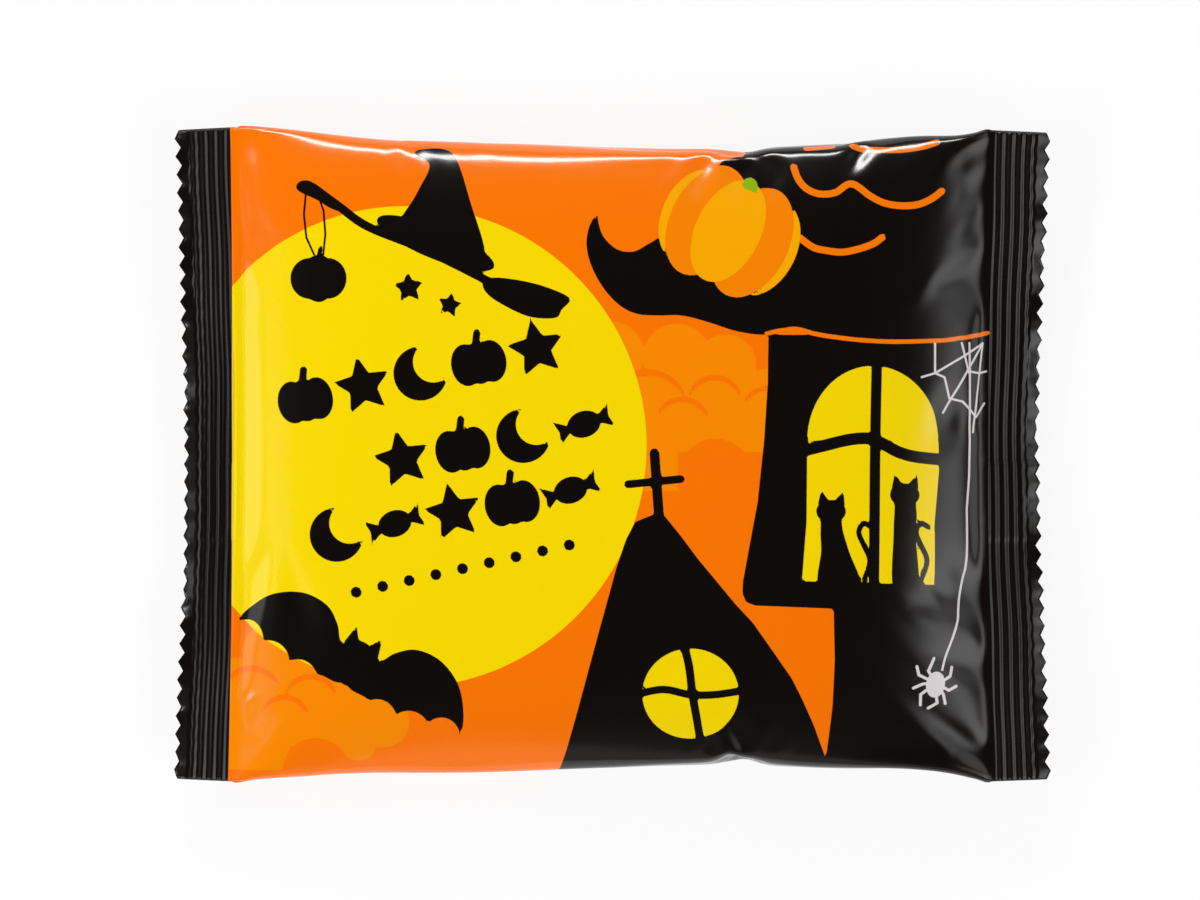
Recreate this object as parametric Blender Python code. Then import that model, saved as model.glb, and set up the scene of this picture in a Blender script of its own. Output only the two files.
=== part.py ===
"""A shut flow-wrap pack around one large rice cracker, lying on its back.

The pack is one tube of film. Its girth is the same all along, so where the cracker and the air
beside it hold the tube open, each cross-section is thicker and, to match, narrower. Both ends
are pinched flat, crimped into ribs that run across the pack, and cut off with a zigzag knife.
The lengthwise seal is a flap on the underside, folded flat, with a groove along its free edge.

X runs along the pack, from one end seal to the other. Y runs across it, and +Z is up.
"""

import math

import bmesh
import bpy
import numpy as np

# Driving dimensions, in metres
FLAT_WIDTH = 0.100  # of the flattened tube, so of both end seals
LENGTH = 0.134  # from tooth tip to tooth tip
FLANGE = 0.0036  # plain film between the zigzag edge and the first rib
RIBS = 4  # full ribs in each end seal
RIB_PITCH = 0.0015
RIB_HEIGHT = 0.00022  # of a crest above the seal's middle plane
SEAL_THICKNESS = 0.0005
TEETH = 36  # across each end
TOOTH_DEPTH = 0.0009
SEAL_PLANE = 0.0064  # height of the end seals above what the pack lies on
TOP_RISE = 0.0094  # of the filled middle above the plane of the seals
FIN_EDGE = -0.0131  # Y of the free edge of the lengthwise seal's flap
FIN_GROOVE = 0.0003  # depth of the groove along that edge

# Form of the filled part
TOP_POWER = 2.5  # of the crowned upper side: higher is flatter, with a tighter turn at the edge
UNDER_POWER = 4.0  # of the underside, which lies on something
UNDER_DROP = 0.0072  # depth that the underside would have with nothing under it to flatten it
END_POWER = 4.0  # how late the pack starts to slope down to its end seals
END_SLOPE = 0.8  # how steeply it then reaches them
BODY_BANDS = 21  # lengthwise divisions of the filled part

# Each tooth takes two divisions of the edge, so the ring follows from the teeth
SIDE_DIVISIONS = 2 * TEETH
RING_POINTS = 2 * SIDE_DIVISIONS
CURVE_SAMPLES = 1600
HALVINGS = 40
NARROWEST = 0.8  # of the flat width: no cross-section of this pack gets as narrow
GIRTH = 2 * FLAT_WIDTH
RIBBED = (RIBS + 0.5) * RIB_PITCH
BODY_HALF_LENGTH = LENGTH / 2 - FLANGE - RIBBED

FILM_COLOUR = (0.956, 0.181, 0.0, 1.0)
FILM_ROUGHNESS = 0.22
SHARP_EDGE = math.radians(50)


def fullness(x):
    """How far the tube is open at x: 1 in the middle of the pack, 0 at the end seals."""
    along = min(abs(x) / BODY_HALF_LENGTH, 1.0)
    return (1 - along**END_POWER) ** END_SLOPE


def cross_section(half_width, rise, drop):
    """A closed curve of Y and Z: a crowned upper side, then a flatter underside back again."""
    turn = np.linspace(0, math.pi, CURVE_SAMPLES)
    y = -half_width * np.cos(turn)
    across = np.abs(np.cos(turn))
    upper = rise * np.sqrt(1 - across**TOP_POWER)
    lower = -drop * np.sqrt(1 - across**UNDER_POWER)
    lower = np.maximum(lower, -SEAL_PLANE)
    return np.stack([y, upper]), np.stack([y[::-1], lower[::-1]])


def lengths(curve):
    """Distance along a curve to each of its points."""
    steps = np.hypot(np.diff(curve[0]), np.diff(curve[1]))
    return np.concatenate([[0.0], np.cumsum(steps)])


def fitted_half_width(rise, drop):
    """The half width that gives a cross-section the film's girth, found by halving a range."""
    low = NARROWEST * FLAT_WIDTH / 2
    high = FLAT_WIDTH / 2
    for _ in range(HALVINGS):
        middle = (low + high) / 2
        upper, lower = cross_section(middle, rise, drop)
        if lengths(upper)[-1] + lengths(lower)[-1] > GIRTH:
            high = middle
        else:
            low = middle
    return (low + high) / 2


def evenly_spaced(curve, divisions):
    """Points at equal distances along a curve, without its last one."""
    reached = lengths(curve)
    wanted = np.linspace(0, reached[-1], divisions + 1)[:-1]
    return np.stack([np.interp(wanted, reached, part) for part in curve])


def ring(x):
    """Points around the pack at x, before the ribs, the teeth and the groove."""
    rise = SEAL_THICKNESS / 2 + TOP_RISE * fullness(x)
    drop = SEAL_THICKNESS / 2 + UNDER_DROP * fullness(x)
    upper, lower = cross_section(fitted_half_width(rise, drop), rise, drop)
    sides = [evenly_spaced(side, SIDE_DIVISIONS) for side in (upper, lower)]
    y, z = np.concatenate(sides, axis=1)
    return np.stack([np.full(RING_POINTS, x), y, z + SEAL_PLANE], axis=1)


def with_groove(points):
    """Lifts the underside along the free edge of the lengthwise flap."""
    under = np.arange(RING_POINTS) > SIDE_DIVISIONS
    spacing = FLAT_WIDTH / SIDE_DIVISIONS
    near = np.clip(1 - np.abs(points[:, 1] - FIN_EDGE) / spacing, 0, 1)
    open_here = fullness(points[0, 0])
    points[:, 2] += under * near * FIN_GROOVE * open_here
    return points


def body_stations():
    """X of the rings of the filled part, closer together towards the end seals."""
    turn = np.linspace(-math.pi / 2, math.pi / 2, BODY_BANDS + 1)
    return BODY_HALF_LENGTH * np.sin(turn)


def seal_rings(end):
    """Rings of one end seal, from its first rib out to its zigzag edge. End is -1 or 1."""
    rings = []
    for half_rib in range(1, 2 * RIBS + 2):
        points = ring(end * (BODY_HALF_LENGTH + half_rib * RIB_PITCH / 2))
        points[:, 2] += RIB_HEIGHT * (-1) ** half_rib
        rings.append(points)
    edge = ring(end * LENGTH / 2)
    between_teeth = np.arange(RING_POINTS) % 2 == 0
    edge[:, 0] -= end * TOOTH_DEPTH * between_teeth
    rings.append(edge)
    return rings


def end_cap(bm, loop):
    """Closes the zigzag edge: upper and lower points face each other across the seal."""
    for k in range(SIDE_DIVISIONS):
        corners = [loop[k], loop[k + 1], loop[-k - 1], loop[-k % RING_POINTS]]
        bm.faces.new(list(dict.fromkeys(corners)))


def build_mesh():
    """The whole skin: bands of faces between the rings, and a cap at each zigzag edge."""
    rings = seal_rings(-1)[::-1]
    rings += [with_groove(ring(x)) for x in body_stations()]
    rings += seal_rings(1)
    bm = bmesh.new()
    loops = [[bm.verts.new(point) for point in points] for points in rings]
    for here, following in zip(loops, loops[1:]):
        for k in range(RING_POINTS):
            after = (k + 1) % RING_POINTS
            bm.faces.new((here[k], here[after], following[after], following[k]))
    end_cap(bm, loops[0])
    end_cap(bm, loops[-1])
    bmesh.ops.recalc_face_normals(bm, faces=bm.faces)
    mesh = bpy.data.meshes.new("pack")
    bm.to_mesh(mesh)
    bm.free()
    mesh.shade_smooth()
    mesh.set_sharp_from_angle(angle=SHARP_EDGE)
    return mesh


def film_material():
    """Glossy film in the orange that most of the print has."""
    material = bpy.data.materials.new("printed_film")
    material.use_nodes = True
    shader = material.node_tree.nodes["Principled BSDF"]
    shader.inputs["Base Color"].default_value = FILM_COLOUR
    shader.inputs["Roughness"].default_value = FILM_ROUGHNESS
    shader.inputs["Metallic"].default_value = 0.0
    return material


def main():
    """Clears the scene and puts the pack in a collection of its own."""
    for old in list(bpy.data.objects):
        bpy.data.objects.remove(old, do_unlink=True)
    collection = bpy.data.collections.new("rice_cracker_pack")
    bpy.context.scene.collection.children.link(collection)
    pack = bpy.data.objects.new("pack", build_mesh())
    pack.data.materials.append(film_material())
    collection.objects.link(pack)


main()
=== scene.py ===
"""Looks of a shut flow-wrap pack with a printed film, around one large rice cracker.

The film is one sheet that can't stretch. It is laid round the pack's form and then relaxed, so
that it finds its own creases at the end seals and its own pinches along the sides. Everything
that follows the film, its print above all, is worked out in the flat sheet's own coordinates:
U runs across the front from the middle, round both sides to the back, and V runs along the pack.
"""

import logging
import math
from dataclasses import dataclass
from enum import Enum

import bpy
import numpy as np
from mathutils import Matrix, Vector


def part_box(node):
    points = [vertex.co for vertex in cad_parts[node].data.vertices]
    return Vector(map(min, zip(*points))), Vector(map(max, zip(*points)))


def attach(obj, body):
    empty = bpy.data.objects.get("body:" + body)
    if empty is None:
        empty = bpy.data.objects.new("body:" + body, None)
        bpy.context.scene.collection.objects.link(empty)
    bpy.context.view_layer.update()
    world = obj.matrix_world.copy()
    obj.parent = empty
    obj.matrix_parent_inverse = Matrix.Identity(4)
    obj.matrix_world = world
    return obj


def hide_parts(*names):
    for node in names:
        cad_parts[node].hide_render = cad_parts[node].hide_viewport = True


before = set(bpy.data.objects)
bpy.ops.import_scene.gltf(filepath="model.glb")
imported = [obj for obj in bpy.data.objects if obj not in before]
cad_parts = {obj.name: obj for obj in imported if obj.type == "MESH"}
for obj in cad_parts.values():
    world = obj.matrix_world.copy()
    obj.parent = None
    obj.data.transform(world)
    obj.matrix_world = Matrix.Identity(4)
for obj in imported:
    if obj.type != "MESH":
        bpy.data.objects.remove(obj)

log = logging.getLogger("rice_cracker_pack")

MM = 0.001
BODY_NAME = "root"
NODE = "pack"
PRINT_PLACE = "print_place"
CURVE_SAMPLES = 800
HALVINGS = 30
TINY = 1e-12

LOW, HIGH = (np.array(corner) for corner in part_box(NODE))
LENGTH = float(HIGH[0] - LOW[0])
FLAT_WIDTH = float(HIGH[1] - LOW[1])
HEIGHT = float(HIGH[2] - LOW[2])
GIRTH = 2 * FLAT_WIDTH


class Ink(Enum):
    """The inks of the print, in the order that they are laid on the orange film."""

    CLOUD = "ink_cloud"
    MOON = "ink_moon"
    BLACK = "ink_black"
    WINDOW = "ink_window"
    LINE = "ink_line"
    LOBE = "ink_lobe"
    LOBE_LIGHT = "ink_lobe_light"
    STEM = "ink_stem"
    PALE = "ink_pale"


# ----------------------------------------------------------------------------------- the film


@dataclass(frozen=True)
class Form:
    """The smooth pillow form that the film is laid round, in metres."""

    seal_plane: float = 0.4 * HEIGHT
    rise: float = 0.585 * HEIGHT
    drop: float = 0.45 * HEIGHT
    half_length: float = 0.0565
    film_length: float = 0.1167
    seal_length: float = 0.0095
    crown_power: float = 2.5
    under_power: float = 4.0
    end_power: float = 4.0
    end_slope: float = 0.8
    thinnest: float = 0.0001

    @property
    def whole_length(self) -> float:
        """Length of the flat film from edge to edge, with both seals."""
        return self.film_length + 2 * self.seal_length

    def fullness(self, x: np.ndarray) -> np.ndarray:
        """How far the tube is open at x: one less a power of the distance, to a power."""
        along = np.minimum(np.abs(x) / self.half_length, 1.0)
        return (1 - along**self.end_power) ** self.end_slope

    def curve(self, half_width: float, open_by: float) -> tuple[np.ndarray, np.ndarray]:
        """Upper and lower curve of one cross-section, from the -Y side to the +Y side.

        Both are superellipses, height being the root of one less a power of the distance from
        the middle. The lower one is cut off flat at the ground.

        Args:
            half_width: From the middle to the side.
            open_by: The fullness, from 0 to 1.

        Returns:
            Two arrays of Y and Z, with Z measured from the plane of the seals.
        """
        turn = np.linspace(0, math.pi, CURVE_SAMPLES)
        y = -half_width * np.cos(turn)
        across = np.abs(np.cos(turn))
        upper = (self.thinnest + self.rise * open_by) * np.sqrt(1 - across**self.crown_power)
        lower = -(self.thinnest + self.drop * open_by) * np.sqrt(1 - across**self.under_power)
        return np.stack([y, upper]), np.stack([y, np.maximum(lower, -self.seal_plane)])

    def half_width(self, open_by: float) -> float:
        """The half width that gives the cross-section the film's girth, by halving a range.

        Args:
            open_by: The fullness, from 0 to 1.

        Returns:
            The half width, in metres.
        """
        low, high = 0.4 * FLAT_WIDTH, 0.5 * FLAT_WIDTH
        for _ in range(HALVINGS):
            middle = (low + high) / 2
            around = sum(walked(c)[-1] for c in self.curve(middle, open_by))
            low, high = (low, middle) if around > GIRTH else (middle, high)
        return (low + high) / 2

    def ring(self, x: float, count: int) -> tuple[np.ndarray, np.ndarray]:
        """Y and Z of points spaced evenly round the film, from the top's middle past +Y.

        Args:
            x: X of its middle, or of each point.
            count: How many points.

        Returns:
            Y and Z of the points.
        """
        open_by = float(self.fullness(np.array(x)))
        upper, lower = self.curve(self.half_width(open_by), open_by)
        quarter = count // 4
        top = evenly(upper, 2 * quarter)
        under = evenly(lower, 2 * quarter)[:, ::-1]
        loop = np.concatenate([top[:, quarter:-1], under[:, :-1], top[:, :quarter]], axis=1)
        return loop[0], loop[1] + self.seal_plane


def walked(curve: np.ndarray) -> np.ndarray:
    """Distance along a curve of Y and Z to each of its points."""
    steps = np.hypot(np.diff(curve[0]), np.diff(curve[1]))
    return np.concatenate([[0.0], np.cumsum(steps)])


def evenly(curve: np.ndarray, divisions: int) -> np.ndarray:
    """The curve's points at equal distances, both ends included.

    Args:
        curve: The curve, as two rows.
        divisions: How many steps to divide it in.

    Returns:
        The points, as two rows.
    """
    reached = walked(curve)
    wanted = np.linspace(0, reached[-1], divisions + 1)
    return np.stack([np.interp(wanted, reached, part) for part in curve])


@dataclass(frozen=True)
class Dent:
    """A sunken fan in the film: it starts at a point and widens and deepens away from it."""

    x: float
    y: float
    heading: float
    reach: float
    spread: float
    depth: float

    def sink(self, x: np.ndarray, y: np.ndarray) -> np.ndarray:
        """Depth at each place: distance from the point, times how near the heading, faded.

        Args:
            x: X of its middle, or of each point.
            y: Y of its middle, or of each point.

        Returns:
            How far each place is lowered, in millimetres.
        """
        away = np.hypot(x - self.x, y - self.y)
        turn = np.degrees(np.arctan2(y - self.y, x - self.x)) - self.heading
        turn = (turn + 180) % 360 - 180
        across = np.clip(1 - (turn / self.spread) ** 2, 0, 1)
        along = np.clip(away / self.reach, 0, 1)
        fade = np.clip((1.6 * self.reach - away) / (0.6 * self.reach), 0, 1)
        return self.depth * across * along * fade


DENTS = (
    Dent(46.3, 26.4, 2, 9, 34, 1.5),
    Dent(42.4, -23.4, 14, 12, 26, 1.5),
    Dent(44.5, -30.0, -10, 11, 18, 1.2),
    Dent(50.3, 13.5, -92, 8, 16, 0.9),
    Dent(50.5, 46.5, -58, 8, 20, 1.2),
    Dent(55.0, 38.5, -95, 4.5, 34, 0.8),
    Dent(47.0, -40.0, -30, 10, 18, 0.9),
    Dent(52.5, 5.5, -12, 4, 34, 0.7),
    Dent(-52.5, -36.5, -150, 5, 30, 1.0),
    Dent(-50.5, -44.0, 150, 7, 24, 1.6),
    Dent(-45.5, 37.0, 208, 11, 15, 1.1),
    Dent(-49.0, 24.5, 190, 7, 14, 0.6),
    Dent(-50.3, -9.5, -112, 13, 14, 1.0),
    Dent(-49.6, -10.5, -75, 13, 12, 0.8),
    Dent(-52.5, 45.5, 160, 4, 40, 0.7),
    Dent(19.6, 42.5, 88, 4.5, 16, 0.9),
    Dent(36.0, 42.5, 80, 4.5, 20, 0.9),
    Dent(19.2, -41.5, -90, 5, 18, 1.3),
)


@dataclass(frozen=True)
class Pinch:
    """A place where one side of the pack is nipped inwards."""

    x: float
    side: int
    depth: float
    width: float


PINCHES = (
    Pinch(13.0, 1, 1.5, 18.0),
    Pinch(19.3, 1, 0.9, 3.0),
    Pinch(17.0, -1, 0.7, 12.0),
    Pinch(19.3, -1, 1.5, 2.2),
    Pinch(-22.0, -1, -0.8, 15.0),
    Pinch(-50.0, 1, -0.6, 12.0),
    Pinch(35.0, 1, 0.3, 3.0),
    Pinch(52.5, 1, 0.8, 5.0),
    Pinch(46.0, -1, 1.3, 9.0),
)


class Sheet:
    """The film on a grid of rows along the pack and columns round it, at one spacing.

    Column 0 is the middle of the front. A quarter of the way round is the +Y side, and half
    way round is the middle of the back.
    """

    def __init__(self, form: Form, spacing: float) -> None:
        """Lays the film round the form.

        Args:
            form: The pillow form.
            spacing: About how far apart the grid's points are.
        """
        self.form = form
        self.columns = 4 * round(GIRTH / spacing / 4)
        self.rows = round(form.whole_length / spacing) + 1
        self.step_u = GIRTH / self.columns
        self.step_v = form.whole_length / (self.rows - 1)
        self.step_slant = math.hypot(self.step_u, self.step_v)
        self.v = np.linspace(-form.whole_length / 2, form.whole_length / 2, self.rows)
        around = np.arange(self.columns) * self.step_u
        self.u = np.where(around >= GIRTH / 2, around - GIRTH, around)
        self.facing = (self.columns // 2 - np.arange(self.columns)) % self.columns
        self.sealed = np.abs(self.v) >= form.film_length / 2 - 1e-9
        self.points = self.laid()
        self.aim = self.points[2] - self.dented()
        self.side_aim = self.pinched()
        self.ground = self.ground_height()

    def laid(self) -> np.ndarray:
        """The film round the form before it relaxes: a ring of even points for each row.

        Returns:
            The points, three rows.
        """
        points = np.zeros((3, self.rows, self.columns))
        held = np.clip(self.v, -self.form.film_length / 2, self.form.film_length / 2)
        x = held * self.form.half_length / (self.form.film_length / 2)
        for row in range(self.rows):
            points[0, row] = x[row] + self.v[row] - held[row]
            points[1, row], points[2, row] = self.form.ring(float(x[row]), self.columns)
        return points

    def dented(self) -> np.ndarray:
        """How far the dents lower the front, in metres, at each point.

        Returns:
            The depths.
        """
        x, y = self.points[0] / MM, np.broadcast_to(self.u / MM, self.points[0].shape)
        sunk = sum(dent.sink(x, y) for dent in DENTS)
        swell = np.sin(x / 11.0 + 0.6) * np.sin(y / 9.0 + x / 23.0 + 1.1)
        front = np.abs(y) < FLAT_WIDTH / 2 / MM - 1
        inner = self.form.fullness(self.points[0])
        return (sunk + 0.22 * swell * inner) * front * MM

    def pinched(self) -> np.ndarray:
        """The Y that each nipped side point is drawn to, and nothing elsewhere.

        Returns:
            The aimed Y, or not a number.
        """
        aim = np.full(self.points[0].shape, np.nan)
        for side, column in ((1, self.columns // 4), (-1, 3 * self.columns // 4)):
            x = self.points[0, :, column] / MM
            nip = sum(p.depth * np.exp(-(((x - p.x) / p.width) ** 2)) for p in PINCHES if p.side == side)
            touched = (np.abs(nip) > 0.05) & ~self.sealed
            level = self.points[1, :, column] - side * nip * MM
            aim[touched, column] = level[touched]
        return aim

    def ground_height(self) -> np.ndarray:
        """The lowest that each column may lie: the back flap lies between film and ground.

        Returns:
            A height for each column.
        """
        under = np.abs(self.u) > FLAT_WIDTH / 2
        y = np.where(self.u > 0, FLAT_WIDTH - self.u, -FLAT_WIDTH - self.u)
        mm = y / MM
        past_root = np.clip((FLAP.root + 0.4 - mm) / 0.6, 0, 1)
        past_edge = np.clip((mm - FLAP.edge + 0.4) / 0.6, 0, 1)
        return 0.05 * MM + under * past_root * past_edge * FLAP.lift * MM

    def take_over(self, coarse: "Sheet") -> None:
        """Starts from a coarser sheet, read between its points in both directions.

        Args:
            coarse: The sheet before this one.
        """
        place = (self.v - coarse.v[0]) / coarse.step_v
        row = np.clip(place.astype(int), 0, coarse.rows - 2)
        part = (place - row)[None, :, None]
        between = coarse.points[:, row] * (1 - part) + coarse.points[:, row + 1] * part
        place = np.arange(self.columns) * self.step_u / coarse.step_u
        column = place.astype(int) % coarse.columns
        part = (place - np.floor(place))[None, None, :]
        after = (column + 1) % coarse.columns
        self.points = between[:, :, column] * (1 - part) + between[:, :, after] * part

    def hold_lengths(self, points: np.ndarray) -> None:
        """Moves each pair of neighbours, along, across and on both slants, to its flat length.

        Args:
            points: The points, in metres.
        """
        for first in (0, 1):
            count = (self.rows - first) // 2
            here = points[:, first:first + 2 * count:2]
            there = points[:, first + 1:first + 2 * count:2]
            keep_apart(here, there, self.step_v)
            for turn in (1, -1):
                turned = np.roll(there, -turn, axis=2)
                keep_apart(here, turned, self.step_slant)
                there[:] = np.roll(turned, turn, axis=2)
        even, odd = points[:, :, 0::2], points[:, :, 1::2]
        keep_apart(even, odd, self.step_u)
        turned = np.roll(even, -1, axis=2)
        keep_apart(odd, turned, self.step_u)
        even[:] = np.roll(turned, 1, axis=2)

    def unbend(self, points: np.ndarray, stiffness: np.ndarray) -> None:
        """Lowers the bending: the second difference of the second difference, both ways.

        Args:
            points: The points, in metres.
            stiffness: The stiffness at each row.
        """
        across = np.roll(points, 1, 2) - 2 * points + np.roll(points, -1, 2)
        across = np.roll(across, 1, 2) - 2 * across + np.roll(across, -1, 2)
        bend = np.zeros_like(points)
        bend[:, 1:-1] = points[:, :-2] - 2 * points[:, 1:-1] + points[:, 2:]
        along = -2 * bend
        along[:, 1:] += bend[:, :-1]
        along[:, :-1] += bend[:, 1:]
        points -= stiffness * (across + along)

    def relax(self, steps: int, pull: float, swing: float = 0.9, stiff: float = 0.02) -> None:
        """Lets the film settle.

        Each step carries on the last movement, draws the film gently to its aim, lowers the
        bending, restores the flat lengths twice, presses the two layers of the seals together
        and keeps the film above the ground.

        Args:
            steps: How many steps to take.
            pull: The share of the way to its aim that a point is drawn in a step.
            swing: The share of a movement that carries on.
            stiff: The film's stiffness against bending.
        """
        stiffness = np.where(self.sealed, 0.06, stiff)[None, :, None]
        drawn = np.where(self.sealed, 0.3 * pull, pull)[:, None]
        nipped = ~np.isnan(self.side_aim)
        side_aim = self.side_aim[nipped]
        moved = np.zeros_like(self.points)
        for _ in range(steps):
            points = self.points + swing * moved
            points[2] += drawn * (self.aim - points[2])
            points[1][nipped] += 0.2 * (side_aim - points[1][nipped])
            self.unbend(points, stiffness)
            self.hold_lengths(points)
            self.hold_lengths(points)
            seals = points[:, self.sealed]
            points[:, self.sealed] = (seals + seals[:, :, self.facing]) / 2
            points[2] = np.maximum(points[2], self.ground)
            moved = points - self.points
            self.points = points

    def straighten_seals(self, passes: int = 24) -> None:
        """Makes each seal ruled: straight lines from its smoothed crease to its smoothed edge.

        Args:
            passes: How many times to even it.
        """
        quarter = self.columns // 4
        front = np.arange(-quarter, quarter + 1) % self.columns
        back = self.facing[front]
        for end in (-1, 1):
            rows = np.flatnonzero(self.sealed & (np.sign(self.v) == end))
            inner, outer = (rows[-1], rows[0]) if end < 0 else (rows[0], rows[-1])
            crease, edge = (evened(self.points[:, row][:, front], passes) for row in (inner, outer))
            share = (np.abs(rows - inner) / abs(outer - inner))[None, :, None]
            ruled = crease[:, None] * (1 - share) + edge[:, None] * share
            for columns in (front, back):
                self.points[:, rows[:, None], columns[None, :]] = ruled


def evened(line: np.ndarray, passes: int) -> np.ndarray:
    """A line of points, each pass a quarter, a half and a quarter of three; its ends stay.

    Args:
        line: The points, three rows.
        passes: How many times to even it.

    Returns:
        The evened points.
    """
    line = line.copy()
    for _ in range(passes):
        line[:, 1:-1] = (line[:, :-2] + 2 * line[:, 1:-1] + line[:, 2:]) / 4
    return line


def keep_apart(here: np.ndarray, there: np.ndarray, wanted: float) -> None:
    """Moves both points of each pair by half of what their distance is out by.

    Args:
        here: The first point of each pair, moved in place.
        there: The second point of each pair, moved in place.
        wanted: The distance or the places that are wanted.
    """
    gap = there - here
    length = np.sqrt(gap[0] * gap[0] + gap[1] * gap[1] + gap[2] * gap[2]) + 1e-12
    gap *= 0.5 * (length - wanted) / length
    here += gap
    there -= gap


@dataclass(frozen=True)
class Stage:
    """One round of relaxing: the grid's spacing in metres, its steps, its pull and stiffness."""

    spacing: float
    steps: int
    pull: float
    stiff: float


ROUNDS = (
    Stage(0.004, 400, 0.02, 0.03),
    Stage(0.002, 500, 0.012, 0.02),
    Stage(0.001, 400, 0.004, 0.02),
    Stage(0.0005, 160, 0.0015, 0.02),
)


def relaxed_film(form: Form) -> Sheet:
    """The film after every round of relaxing, from a coarse grid to a fine one.

    Args:
        form: The pillow form.

    Returns:
        The finest sheet.
    """
    sheet = None
    for stage in ROUNDS:
        finer = Sheet(form, stage.spacing)
        if sheet is not None:
            finer.take_over(sheet)
        finer.relax(stage.steps, stage.pull, stiff=stage.stiff)
        sheet = finer
        log.info("film at %.1f mm: %d x %d", stage.spacing / MM, finer.rows, finer.columns)
    ends = sheet.points[0].max(), sheet.points[0].min()
    sheet.points[0] -= (ends[0] + ends[1]) / 2
    sheet.straighten_seals()
    return sheet


# --------------------------------------------------------------------------- shapes in the flat


Points = tuple[np.ndarray, np.ndarray]
FAR = 3.0


def disc(at: Points, x: float, y: float, radius: float) -> np.ndarray:
    """Distance outside a disc: distance from its centre less its radius."""
    return np.hypot(at[0] - x, at[1] - y) - radius


def ellipse(at: Points, x: float, y: float, rx: float, ry: float, tilt: float = 0.0) -> np.ndarray:
    """About the distance outside an ellipse: its implicit value over that value's slope.

    Args:
        at: Coordinates on the print, in millimetres.
        x: X of its middle, or of each point.
        y: Y of its middle, or of each point.
        rx: Half its width.
        ry: Half its height.
        tilt: How far it is turned, in degrees.

    Returns:
        Distance outside it at each point, less than nothing inside.
    """
    u, v = turned(at, x, y, tilt)
    level = np.hypot(u / rx, v / ry)
    slope = np.hypot(u / rx**2, v / ry**2) / np.maximum(level, 1e-6)
    return (level - 1) / np.maximum(slope, 1e-6)


def turned(at: Points, x: float, y: float, tilt: float) -> Points:
    """Coordinates in a frame at x, y that is turned by tilt degrees.

    Args:
        at: Coordinates on the print, in millimetres.
        x: X of its middle, or of each point.
        y: Y of its middle, or of each point.
        tilt: How far it is turned, in degrees.

    Returns:
        The coordinates in that frame.
    """
    c, s = math.cos(math.radians(tilt)), math.sin(math.radians(tilt))
    dx, dy = at[0] - x, at[1] - y
    return c * dx + s * dy, c * dy - s * dx


def smooth_path(path: list, closed: bool = False, parts: int = 6) -> np.ndarray:
    """Points on the Catmull-Rom curve through a path, parts to each stretch.

    Args:
        path: Points that it passes through.
        closed: Whether it runs back to its start.
        parts: Points to each stretch.

    Returns:
        The points, a row each.
    """
    knots = np.array(path, float)
    if closed:
        knots = np.concatenate([knots[-1:], knots, knots[:2]])
    else:
        knots = np.concatenate([knots[:1], knots, knots[-1:]])
    a, b, c, d = (knots[k:len(knots) - 3 + k, None] for k in range(4))
    t = np.linspace(0, 1, parts, endpoint=False)[None, :, None]
    curve = b + 0.5 * t * (c - a + t * (2 * a - 5 * b + 4 * c - d + t * (3 * (b - c) + d - a)))
    curve = curve.reshape(-1, 2)
    return curve if closed else np.concatenate([curve, knots[-2:-1]])


def from_segments(at: Points, path: np.ndarray) -> np.ndarray:
    """Distance from the nearest of the straight stretches between a path's points.

    Args:
        at: Coordinates on the print, in millimetres.
        path: Points that it passes through.

    Returns:
        Distance outside it at each point, less than nothing inside.
    """
    best = np.full(at[0].shape, 1e9)
    for (ax, ay), (bx, by) in zip(path[:-1], path[1:]):
        dx, dy = bx - ax, by - ay
        share = ((at[0] - ax) * dx + (at[1] - ay) * dy) / max(dx * dx + dy * dy, 1e-9)
        share = np.clip(share, 0, 1)
        best = np.minimum(best, np.hypot(at[0] - ax - share * dx, at[1] - ay - share * dy))
    return best


def stroke(at: Points, path: list, width: float, smooth: bool = True) -> np.ndarray:
    """Distance outside a line of even width with round ends.

    Args:
        at: Coordinates on the print, in millimetres.
        path: Points that it passes through.
        width: Width of the line.
        smooth: Whether it runs in curves.

    Returns:
        Distance outside it at each point, less than nothing inside.
    """
    curve = smooth_path(path) if smooth else np.array(path, float)
    near = close_to(at, curve, width)
    found = np.full(at[0].shape, FAR)
    found[near] = from_segments((at[0][near], at[1][near]), curve) - width / 2
    return found


def close_to(at: Points, curve: np.ndarray, margin: float) -> np.ndarray:
    """Which points lie in the curve's box, with room for a fade around it."""
    low, high = curve.min(0) - FAR - margin, curve.max(0) + FAR + margin
    return (at[0] > low[0]) & (at[0] < high[0]) & (at[1] > low[1]) & (at[1] < high[1])


def outline(at: Points, path: list, smooth: bool = True) -> np.ndarray:
    """Distance outside a closed outline, less than nothing inside it.

    A point is inside when a line from it crosses the outline an odd number of times.

    Args:
        at: Coordinates on the print, in millimetres.
        path: Points that it passes through.
        smooth: Whether it runs in curves.

    Returns:
        Distance outside it at each point, less than nothing inside.
    """
    curve = smooth_path(path, closed=True) if smooth else np.array(path, float)
    closed = np.concatenate([curve, curve[:1]])
    near = close_to(at, curve, 0.0)
    x, y = at[0][near], at[1][near]
    inside = np.zeros(x.shape, bool)
    for (ax, ay), (bx, by) in zip(closed[:-1], closed[1:]):
        spans = (ay > y) != (by > y)
        crossing = ax + (y - ay) * (bx - ax) / (by - ay if by != ay else 1e-9)
        inside ^= spans & (x < crossing)
    away = from_segments((x, y), closed)
    found = np.full(at[0].shape, FAR)
    found[near] = np.where(inside, -away, away)
    return found


def join(*shapes: np.ndarray) -> np.ndarray:
    """The union of shapes: the least of their distances."""
    return np.minimum.reduce(shapes)


def cut(shape: np.ndarray, *holes: np.ndarray) -> np.ndarray:
    """A shape without the holes: the greatest of its distance and theirs turned round."""
    return np.maximum.reduce([shape, *(-hole for hole in holes)])


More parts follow.
